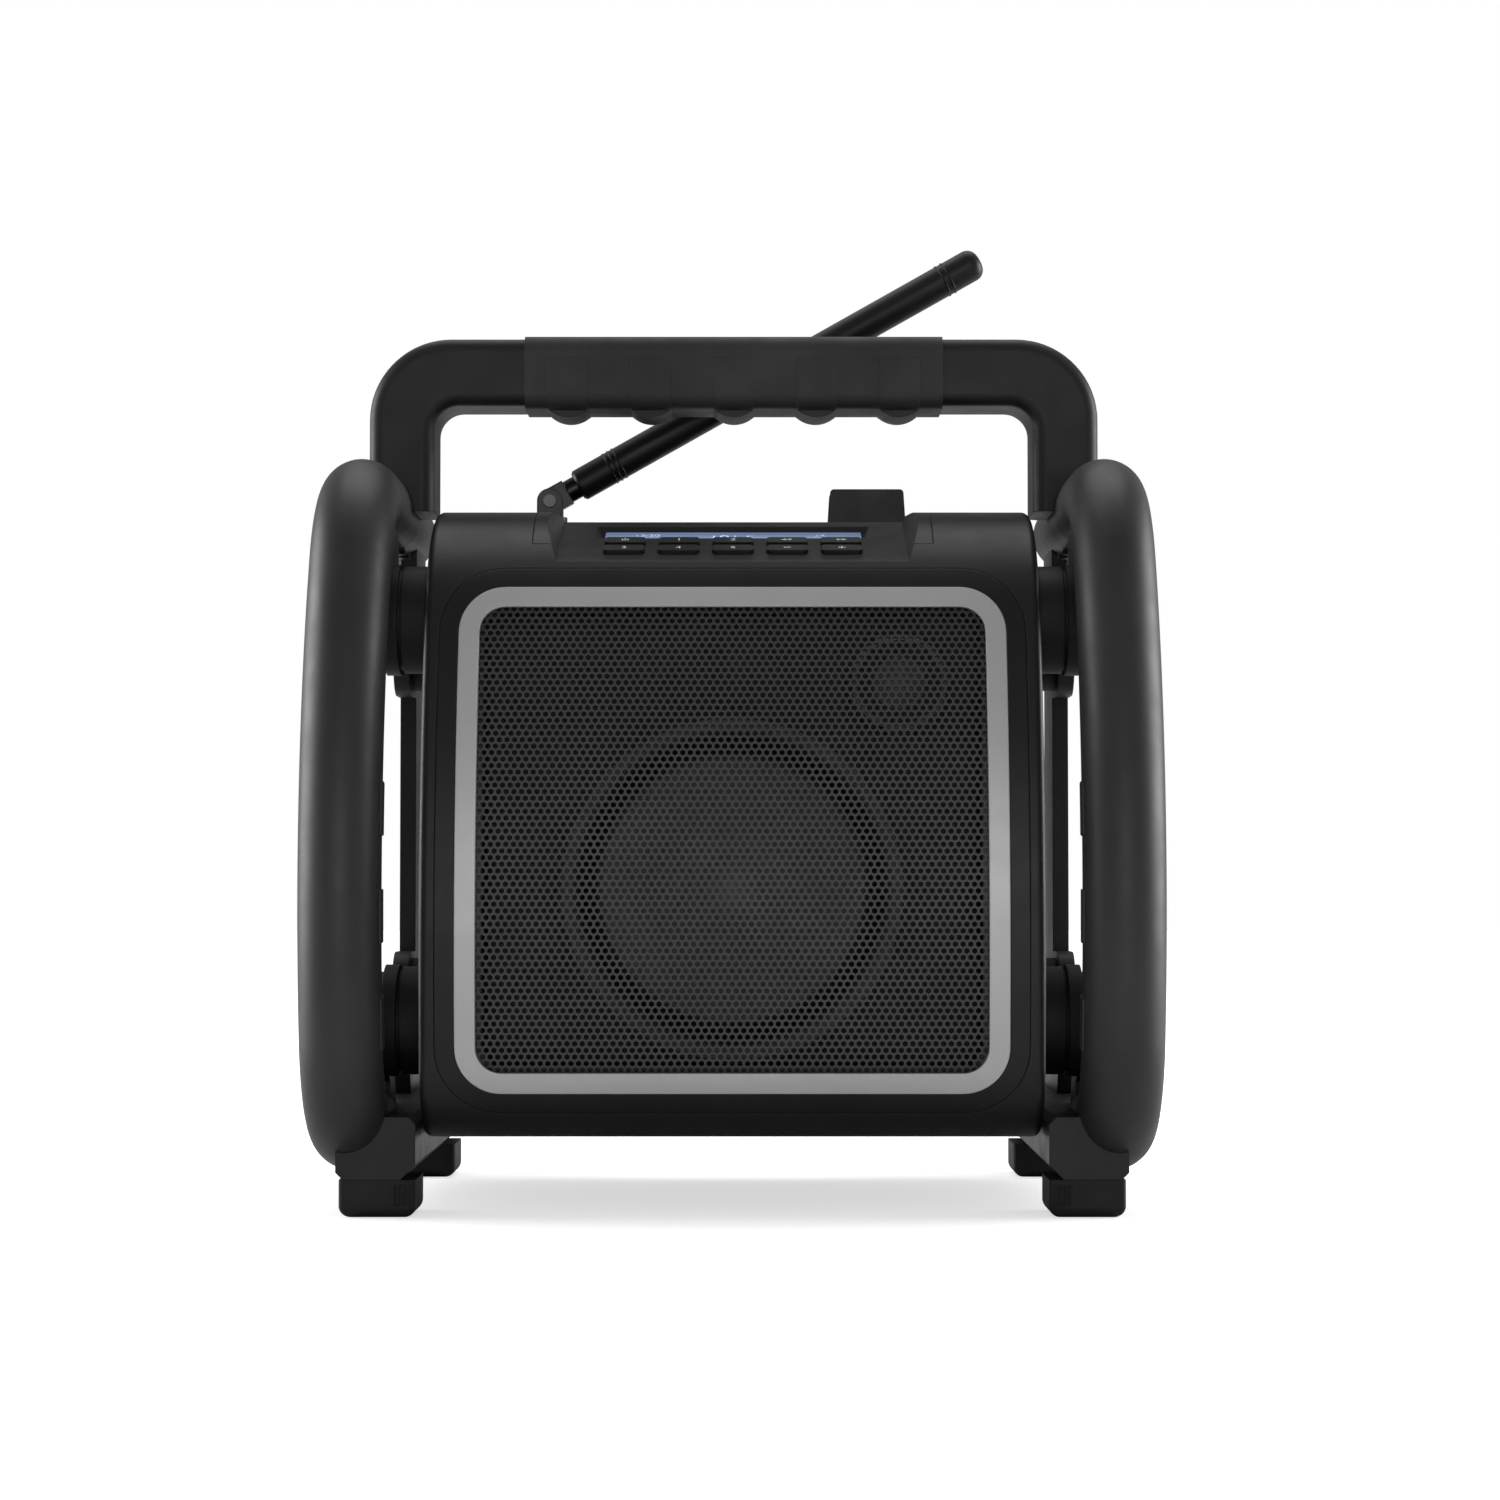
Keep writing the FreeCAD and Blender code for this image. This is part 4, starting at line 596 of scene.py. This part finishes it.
@dataclass
class PanelMarks:
    """The printed keys and the lit figures, all on the sloped panel."""

    front_y: float = -49 * MM
    front_z: float = 227 * MM
    ridge_y: float = 1 * MM
    ridge_z: float = 244 * MM
    pitch: float = 19.1 * MM
    front_row: float = 6.6 * MM
    rear_row: float = 18.6 * MM
    key_top: float = 1.5 * MM
    ink: float = 0.12 * MM
    glass_middle: float = 36.3 * MM
    glass_width: float = 92 * MM
    glass_length: float = 15.6 * MM
    glass_top: float = -1.8 * MM
    glass_thickness: float = 1.65 * MM
    stroke: float = 0.55 * MM
    figure: float = 4.2 * MM
    figure_large: float = 7.5 * MM
    sign: float = 2.6 * MM
    arrow_size: float = 1.15 * MM
    arrow_shift: float = 0.9 * MM
    ring_size: float = 1.35 * MM
    ring_hole: float = 0.68
    ring_gap: float = 1.15 * MM
    stem: float = 1.6 * MM
    stem_middle: float = 0.9 * MM
    sink: float = 0.3
    signal_bars: int = 6
    signal_start: float = 24 * MM
    signal_pitch: float = 2.6 * MM
    signal_width: float = 1.6 * MM
    signal_low: float = 1.0 * MM
    signal_rise: float = 0.7 * MM
    signal_foot: float = 5 * MM
    lens_edge: float = 0.2 * MM
    groups: tuple[tuple[str, float, float, float], ...] = (
        ("101.5", figure_large, -0.5 * MM, 0.2 * MM),
        ("12:30", figure, -31 * MM, 2.6 * MM),
        ("24", figure, 31 * MM, 2.6 * MM),
        ("8", figure, -34 * MM, -3.0 * MM))

    def frame(self) -> Matrix:
        """The panel's own frame: X across, Y up the slope, Z out of it.

        Returns:
            The matrix from the panel's frame to the radio's.
        """
        rise = self.ridge_z - self.front_z
        slope = math.atan2(rise, self.ridge_y - self.front_y)
        place = Matrix.Translation((0, self.front_y, self.front_z))
        return place @ Matrix.Rotation(slope, 4, "X")

    def lay(self, mark: bpy.types.Object, x: float, along: float, above: float) -> None:
        """Lay a flat mark on the panel.

        Args:
            mark: the mark, drawn about the origin.
            x: its place across.
            along: its place up the slope.
            above: its height over the panel.
        """
        bake_place(mark)
        mark.data.transform(self.frame() @ Matrix.Translation((x, along, above)))

    def bar(self, width: float, height: float, x: float = 0, y: float = 0) -> bpy.types.Object:
        """A thin printed bar.

        Args:
            width: its size across.
            height: its size up the slope.
            x: its middle across.
            y: its middle up the slope.

        Returns:
            The bar.
        """
        bpy.ops.mesh.primitive_cube_add(size=1, location=(x, y, self.ink / 2))
        bar = bpy.context.active_object
        bar.scale = (width, height, self.ink)
        bake_place(bar)
        modify(bar, "BEVEL", width=self.ink / 3, segments=1)
        return bar

    def arrow(self, x: float, turned: bool) -> bpy.types.Object:
        """A small printed triangle.

        Args:
            x: its middle across.
            turned: whether it points to the left.

        Returns:
            The triangle.
        """
        angle = math.radians(90 if turned else -90)
        bpy.ops.mesh.primitive_cylinder_add(
            vertices=3, radius=self.arrow_size, depth=self.ink, location=(x, 0, self.ink / 2),
            rotation=(0, 0, angle))
        return bake_place(bpy.context.active_object)

    def ring(self) -> bpy.types.Object:
        """An open ring, as on a power key.

        Returns:
            The ring.
        """
        bpy.ops.mesh.primitive_circle_add(vertices=24, radius=self.ring_size, fill_type="NOTHING")
        ring = bpy.context.active_object
        bpy.ops.object.mode_set(mode="EDIT")
        bpy.ops.mesh.select_all(action="DESELECT")
        bpy.ops.object.mode_set(mode="OBJECT")
        for vertex in ring.data.vertices:
            vertex.select = vertex.co.y > self.ring_gap
        bpy.ops.object.mode_set(mode="EDIT")
        bpy.ops.mesh.delete(type="VERT")
        bpy.ops.mesh.select_all(action="SELECT")
        bpy.ops.mesh.extrude_region_move()
        shrink = (self.ring_hole, self.ring_hole, 1)
        bpy.ops.transform.resize(value=shrink, center_override=(0, 0, 0))
        bpy.ops.object.mode_set(mode="OBJECT")
        modify(ring, "SOLIDIFY", thickness=self.ink, offset=0)
        return ring

    def figures(self, words: str, size: float) -> bpy.types.Object:
        """Plain figures as a mesh.

        Args:
            words: the figures.
            size: their height.

        Returns:
            The mesh, centred on the origin.
        """
        bpy.ops.object.text_add()
        text = bpy.context.active_object
        text.data.body = words
        text.data.size = size
        text.data.align_x = "CENTER"
        text.data.align_y = "CENTER"
        text.data.extrude = self.ink / 2
        only(text)
        bpy.ops.object.convert(target="MESH")
        return bpy.context.active_object

    def symbol(self, kind: Symbol, figure: str) -> list[bpy.types.Object]:
        """The flat parts of one key's mark.

        Args:
            kind: which mark.
            figure: the number, where the mark is one.

        Returns:
            Its meshes, centred on the origin.
        """
        deselect()
        if kind is Symbol.NUMBER:
            return [self.figures(figure, self.figure)]
        if kind is Symbol.POWER:
            return [self.ring(), self.bar(self.stroke, self.stem, 0, self.stem_middle)]
        if kind is Symbol.MINUS:
            return [self.bar(self.sign, self.stroke)]
        if kind is Symbol.PLUS:
            upright = self.bar(self.stroke, self.sign)
            return [self.bar(self.sign, self.stroke), upright]
        turned = kind is Symbol.BACK
        return [self.arrow(-self.arrow_shift, turned), self.arrow(self.arrow_shift, turned)]

    def print_keys(self) -> None:
        """Print every key."""
        rear = [(Symbol.POWER, ""), (Symbol.NUMBER, "1"), (Symbol.NUMBER, "2"),
                (Symbol.BACK, ""), (Symbol.AHEAD, "")]
        front = [(Symbol.NUMBER, "3"), (Symbol.NUMBER, "4"), (Symbol.NUMBER, "5"),
                 (Symbol.MINUS, ""), (Symbol.PLUS, "")]
        for word, row, kinds in (("rear", self.rear_row, rear), ("front", self.front_row, front)):
            for column, (kind, figure) in enumerate(kinds):
                mark = join(self.symbol(kind, figure), f"mark_{word}_{column + 1}")
                x = (column - len(kinds) // 2) * self.pitch
                self.lay(mark, x, row, self.key_top - self.ink * self.sink)
                finish_piece(mark, PRINT, f"button_{word}_{column + 1}")

    def display_face(self) -> None:
        """Model the lens with its lit face, near the top of the display's recess."""
        deselect()
        bpy.ops.mesh.primitive_cube_add(size=1)
        lens = bpy.context.active_object
        lens.scale = (self.glass_width, self.glass_length, self.glass_thickness)
        self.lay(lens, 0, self.glass_middle, self.glass_top - self.glass_thickness / 2)
        modify(lens, "BEVEL", width=self.lens_edge, segments=2)
        settle(lens, "display_face")
        finish_piece(lens, LCD, "cabinet")
        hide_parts("display_window")

    def light_display(self) -> None:
        """Write generic figures and bars on the display."""
        above = self.glass_top - self.ink / 2
        marks = []
        for words, size, x, along in self.groups:
            deselect()
            figure = self.figures(words, size)
            self.lay(figure, x, self.glass_middle + along, above)
            marks.append(figure)
        for step in range(self.signal_bars):
            deselect()
            height = self.signal_low + self.signal_rise * step
            bar = self.bar(self.signal_width, height)
            x = self.signal_start + self.signal_pitch * step
            self.lay(bar, x, self.glass_middle - self.signal_foot + height / 2, above)
            marks.append(bar)
        figures = join(marks, "display_figures")
        finish_piece(figures, LCD_LIGHT, "cabinet")

    def build(self) -> None:
        """Print the keys and light the display."""
        self.print_keys()
        self.display_face()
        self.light_display()


# Roll loops and feet


@dataclass
class LoopPads:
    """The raised pads on the inner back of each bumper tube."""

    loop_x: float = 131 * MM
    tube: float = 14 * MM
    rise: float = 0.6 * MM
    bow_radius: float = 250 * MM
    bow_reach: float = 96 * MM
    bow_height: float = 111 * MM
    pad: float = 18 * MM
    step: float = 36 * MM
    above_bow: float = 9 * MM
    lowest: int = -1
    highest: int = 1
    front_share: float = 0.35
    outer_share: float = 0.75
    wall_share: float = 1.5
    edge_share: float = 0.6

    def one_pad(self, side: Side, number: int) -> bpy.types.Object:
        """Model one pad by spinning part of a circle about the bow's centre.

        Args:
            side: which loop.
            number: its place from the middle, upwards.

        Returns:
            The pad.
        """
        deselect()
        x = side.value * self.loop_x
        centre = Vector((x, self.bow_radius - self.bow_reach, self.bow_height))
        bpy.ops.mesh.primitive_circle_add(
            vertices=48, radius=self.tube + self.rise / 4, location=(x, -self.bow_reach, centre.z))
        pad = bpy.context.active_object
        settle(pad, "pad")
        shape = bmesh.new()
        shape.from_mesh(pad.data)
        away = [v for v in shape.verts
                if (v.co.y + self.bow_reach) < -self.front_share * self.tube
                or (v.co.x - x) * side.value > self.outer_share * self.tube]
        bmesh.ops.delete(shape, geom=away, context="VERTS")
        shape.to_mesh(pad.data)
        shape.free()
        angle = self.pad / self.bow_radius
        middle = (self.above_bow + number * self.step) / self.bow_radius
        turn = Matrix.Rotation(-(middle - angle / 2), 4, "X")
        place = Matrix.Translation(centre) @ turn @ Matrix.Translation(-centre)
        pad.data.transform(place)
        bpy.ops.object.mode_set(mode="EDIT")
        bpy.ops.mesh.select_all(action="SELECT")
        bpy.ops.mesh.spin(steps=8, angle=angle, center=centre, axis=(-1, 0, 0))
        bpy.ops.object.mode_set(mode="OBJECT")
        tidy_faces(pad)
        modify(pad, "SOLIDIFY", thickness=self.rise * self.wall_share, offset=0)
        modify(pad, "BEVEL", width=self.rise * self.edge_share, segments=2,
               limit_method="ANGLE")
        return pad

    def build(self) -> None:
        """Model the pads of both loops."""
        for side in Side:
            span = range(self.lowest, self.highest + 1)
            pads = [self.one_pad(side, number) for number in span]
            joined = join(pads, f"loop_pads_{side.name.lower()}")
            finish_piece(joined, BUMPER, "cabinet")


@dataclass
class AntennaRings:
    """The fine rings near the antenna's knuckle and the joint of its cap."""

    pivot: Vector = field(default_factory=lambda: Vector((-69.7, 52, 257)) * MM)
    angle: float = math.radians(29.5)
    radius: float = 6.1 * MM
    wire: float = 0.35 * MM
    places: tuple[float, ...] = (26 * MM, 28 * MM, 30 * MM, 171 * MM, 173.4 * MM)

    def build(self) -> None:
        """Model the rings on the raised antenna."""
        rings = []
        for place in self.places:
            deselect()
            bpy.ops.mesh.primitive_torus_add(
                major_radius=self.radius, minor_radius=self.wire, major_segments=40,
                minor_segments=8, rotation=(0, math.radians(90), 0), location=(place, 0, 0))
            ring = bake_place(bpy.context.active_object)
            turn = Matrix.Rotation(-self.angle, 4, "Y")
            ring.data.transform(Matrix.Translation(self.pivot) @ turn)
            rings.append(ring)
        joined = join(rings, "antenna_rings")
        finish_piece(joined, ROD, "antenna")


@dataclass
class BoltSockets:
    """Rims on the heads of the mount bolts, each round a flat dark hexagon that is painted shade
    standing for the hollow of its hex socket.
    """

    head_face: float = 130.5 * MM
    across: float = 2.5 * MM
    lip: float = 0.6 * MM
    depth: float = 0.1 * MM
    rows: tuple[float, float] = (-42 * MM, 55 * MM)
    levels: tuple[float, float] = (65 * MM, 205 * MM)

    def build(self) -> None:
        """Model a rim on every head, with a flat dark hexagon inside it as painted shade of the
        socket's hollow.
        """
        rims_and_socket_shade = []
        for side in Side:
            for y, z in itertools.product(self.rows, self.levels):
                place = (side.value * self.head_face, y, z)
                deselect()
                bpy.ops.mesh.primitive_torus_add(
                    major_radius=self.across + self.lip, minor_radius=self.lip / 2,
                    major_segments=24, minor_segments=8, location=place,
                    rotation=(0, math.radians(90), 0))
                rims_and_socket_shade.append(bpy.context.active_object)
                # painted shade: a flat dark hexagon, barely proud of the head, stands for the
                # socket's hollow
                bpy.ops.mesh.primitive_cylinder_add(
                    vertices=6, radius=self.across, depth=self.depth, location=place,
                    rotation=(0, math.radians(90), 0))
                rims_and_socket_shade.append(bpy.context.active_object)
        for rim in rims_and_socket_shade:
            bake_place(rim)
        joined = join(rims_and_socket_shade, "bolt_rims_socket_shade")
        finish_piece(joined, BLACK_METAL, "cabinet")


@dataclass
class FootTreads:
    """The fine upright ribs round the lower inner corner of every foot."""

    inner: float = 107 * MM
    rib: float = 0.55 * MM
    height: float = 7 * MM
    middle: float = 7.6 * MM
    start: float = 2.2 * MM
    pitch: float = 1.7 * MM
    count: int = 4
    faces: tuple[float, float] = (-80 * MM, 104.5 * MM)

    def build(self) -> None:
        """Model the ribs of all four feet."""
        ribs = []
        for side in Side:
            for face in self.faces:
                deselect()
                x = side.value * (self.inner + self.start)
                bpy.ops.mesh.primitive_cylinder_add(
                    vertices=10, radius=self.rib, depth=self.height,
                    location=(x, face, self.middle))
                rib = bake_place(bpy.context.active_object)
                step = (side.value * self.pitch, 0, 0)
                modify(rib, "ARRAY", count=self.count, use_relative_offset=False,
                       use_constant_offset=True, constant_offset_displace=step)
                ribs.append(rib)
        joined = join(ribs, "foot_treads")
        finish_piece(joined, FOOT, "cabinet")


@dataclass
class GripPads:
    """The raised pads on the front and back of the grip, above each finger ridge."""

    pitch: float = 30.5 * MM
    count: int = 5
    width: float = 14.6 * MM
    top: float = 305.6 * MM
    bottom: float = 287.3 * MM
    corner: float = 6 * MM
    rise: float = 0.45 * MM
    front: float = 9 * MM
    rear: float = 43 * MM
    steps: int = 8
    edge_share: float = 0.7

    def profile(self, grow: float) -> list[tuple[float, float]]:
        """The grip's front lower corner in section, grown evenly.

        Args:
            grow: how far outside the grip's own surface.

        Returns:
            Points (Y, Z) from the top of the pad round to below the grip.
        """
        centre = (self.front + self.corner, self.bottom + self.corner)
        radius = self.corner + grow
        points = [(self.front - grow, self.top)]
        for step in range(self.steps + 1):
            angle = math.radians(180 + 90 * step / self.steps)
            points.append((centre[0] + radius * math.cos(angle),
                           centre[1] + radius * math.sin(angle)))
        return points

    def pad(self, x: float) -> bpy.types.Object:
        """Model one pad on the front of the grip.

        Args:
            x: its ridge's middle across.

        Returns:
            The pad.
        """
        outer = self.profile(self.rise)
        inner = self.profile(-self.rise)
        section = outer + inner[::-1]
        data = bpy.data.meshes.new("pad")
        left = [(x - self.width / 2, y, z) for y, z in section]
        data.from_pydata(left, [], [tuple(range(len(left)))])
        pad = bpy.data.objects.new("pad", data)
        bpy.context.scene.collection.objects.link(pad)
        edit_all(pad)
        bpy.ops.mesh.extrude_region_move(
            TRANSFORM_OT_translate={"value": (self.width, 0, 0)})
        bpy.ops.object.mode_set(mode="OBJECT")
        tidy_faces(pad)
        modify(pad, "BEVEL", width=self.rise * self.edge_share, segments=2,
               limit_method="ANGLE")
        return pad

    def build(self) -> None:
        """Model the pads of both faces."""
        middle = (self.front + self.rear) / 2
        pads = []
        for number in range(self.count):
            deselect()
            pad = self.pad((number - (self.count - 1) / 2) * self.pitch)
            pads.append(pad)
        joined = join(pads, "grip_pads")
        only(joined)
        bpy.ops.object.duplicate()
        back = bpy.context.active_object
        turn = Matrix.Rotation(math.radians(180), 4, "Z")
        place = Matrix.Translation((0, middle, 0))
        back.data.transform(place @ turn @ place.inverted())
        joined = join([joined, back], "grip_pads")
        finish_piece(joined, GRIP, "cabinet")


# Studio


@dataclass
class Studio:
    """The pale floor, the soft lights and the camera."""

    camera_place: Vector = field(default_factory=lambda: Vector((6, -1226, 115)) * MM)
    focal_pixels: float = 3383.0
    frame_pixels: float = 1500.0
    horizon_pixel: float = 877.0
    sensor: float = 36.0
    room_light: float = 0.28
    floor_size: float = 12.0
    floor_tone: float = 0.86
    floor_roughness: float = 0.9
    painted_shade_span: tuple[float, float] = (0.2, 0.75)
    painted_shade_glow: float = 0.62
    nearest: float = 0.01
    aim: Vector = field(default_factory=lambda: Vector((0, 0, 0.15)))
    lamps: tuple[tuple[str, tuple[float, float, float], float, float], ...] = (
        ("top_light", (0.0, 0.5, 1.7), 1.4, 9),
        ("left_light", (-1.6, 0.3, 0.45), 1.1, 26),
        ("right_light", (1.6, 0.3, 0.45), 1.1, 26),
        ("front_light", (0.1, -2.4, 0.3), 0.9, 7))

    def floor(self) -> None:
        """Lay a wide pale floor that glows white for the camera, its glow dimmed near the radio as
        painted shade round it.
        """
        deselect()
        bpy.ops.mesh.primitive_plane_add(size=self.floor_size, location=(0, 0, 0))
        floor = bpy.context.active_object
        floor.name = "floor"
        material = bpy.data.materials.new("floor_white")
        material.use_nodes = True
        tree = material.node_tree
        shader = tree.nodes["Principled BSDF"]
        shader.inputs["Base Color"].default_value = (*[self.floor_tone] * 3, 1)
        shader.inputs["Roughness"].default_value = self.floor_roughness
        shader.inputs["Specular IOR Level"].default_value = 0.0
        shader.inputs["Emission Color"].default_value = (1, 1, 1, 1)
        path = tree.nodes.new("ShaderNodeLightPath")
        place = tree.nodes.new("ShaderNodeTexCoord")
        reach = tree.nodes.new("ShaderNodeVectorMath")
        reach.operation = "LENGTH"
        # painted shade: the camera glow is weaker near the radio and rises to full white further
        # out, deepening the lamps' real cast shadow there
        span = tree.nodes.new("ShaderNodeMapRange")
        span.interpolation_type = "SMOOTHSTEP"
        span.inputs["From Min"].default_value = self.painted_shade_span[0]
        span.inputs["From Max"].default_value = self.painted_shade_span[1]
        span.inputs["To Min"].default_value = self.painted_shade_glow
        span.inputs["To Max"].default_value = 1.0
        lift = tree.nodes.new("ShaderNodeMath")
        lift.operation = "MULTIPLY"
        tree.links.new(place.outputs["Object"], reach.inputs[0])
        tree.links.new(reach.outputs["Value"], span.inputs["Value"])
        tree.links.new(span.outputs["Result"], lift.inputs[1])
        tree.links.new(path.outputs["Is Camera Ray"], lift.inputs[0])
        tree.links.new(lift.outputs[0], shader.inputs["Emission Strength"])
        floor.data.materials.append(material)

    def world(self) -> None:
        """White behind the radio, and a softer level for the light it gives."""
        world = bpy.data.worlds.new("studio")
        bpy.context.scene.world = world
        world.use_nodes = True
        tree = world.node_tree
        back = tree.nodes["Background"]
        back.inputs["Color"].default_value = (1, 1, 1, 1)
        path = tree.nodes.new("ShaderNodeLightPath")
        seen = tree.nodes.new("ShaderNodeMath")
        seen.operation = "MAXIMUM"
        span = tree.nodes.new("ShaderNodeMapRange")
        span.inputs["To Min"].default_value = self.room_light
        span.inputs["To Max"].default_value = 1.0
        tree.links.new(path.outputs["Is Camera Ray"], seen.inputs[0])
        tree.links.new(path.outputs["Is Transmission Ray"], seen.inputs[1])
        tree.links.new(seen.outputs[0], span.inputs["Value"])
        tree.links.new(span.outputs["Result"], back.inputs["Strength"])

    def lamp(self, name: str, place: tuple, size: float, power: float) -> None:
        """Hang a soft square lamp that looks at the radio.

        Args:
            name: the lamp's name.
            place: where it hangs, in metres.
            size: its width.
            power: its watts.
        """
        data = bpy.data.lights.new(name, "AREA")
        data.size = size
        data.energy = power
        lamp = bpy.data.objects.new(name, data)
        bpy.context.scene.collection.objects.link(lamp)
        lamp.location = place
        look = self.aim - Vector(place)
        lamp.rotation_euler = look.to_track_quat("-Z", "Y").to_euler()

    def camera(self) -> None:
        """Set the camera where the photograph was taken from."""
        data = bpy.data.cameras.new("camera")
        data.sensor_fit = "HORIZONTAL"
        data.sensor_width = self.sensor
        data.lens = data.sensor_width * self.focal_pixels / self.frame_pixels
        data.clip_start = self.nearest
        camera = bpy.data.objects.new("camera", data)
        bpy.context.scene.collection.objects.link(camera)
        camera.location = self.camera_place
        rise = math.atan2(self.horizon_pixel - self.frame_pixels / 2, self.focal_pixels)
        camera.rotation_euler = (math.radians(90) + rise, 0, 0)
        bpy.context.scene.camera = camera

    def build(self) -> None:
        """Set up the studio."""
        self.floor()
        self.world()
        for name, place, size, power in self.lamps:
            self.lamp(name, place, size, power)
        self.camera()
        bpy.context.scene.view_settings.view_transform = "Standard"


def main() -> None:
    """Dress the frame, model what it lacks and set up the studio."""
    logging.basicConfig(level=logging.INFO)
    PAINT.dress_nodes()
    PerforatedGrille().build()
    PanelMarks().build()
    LoopPads().build()
    AntennaRings().build()
    BoltSockets().build()
    FootTreads().build()
    GripPads().build()
    Studio().build()


if __name__ == "__main__":
    main()
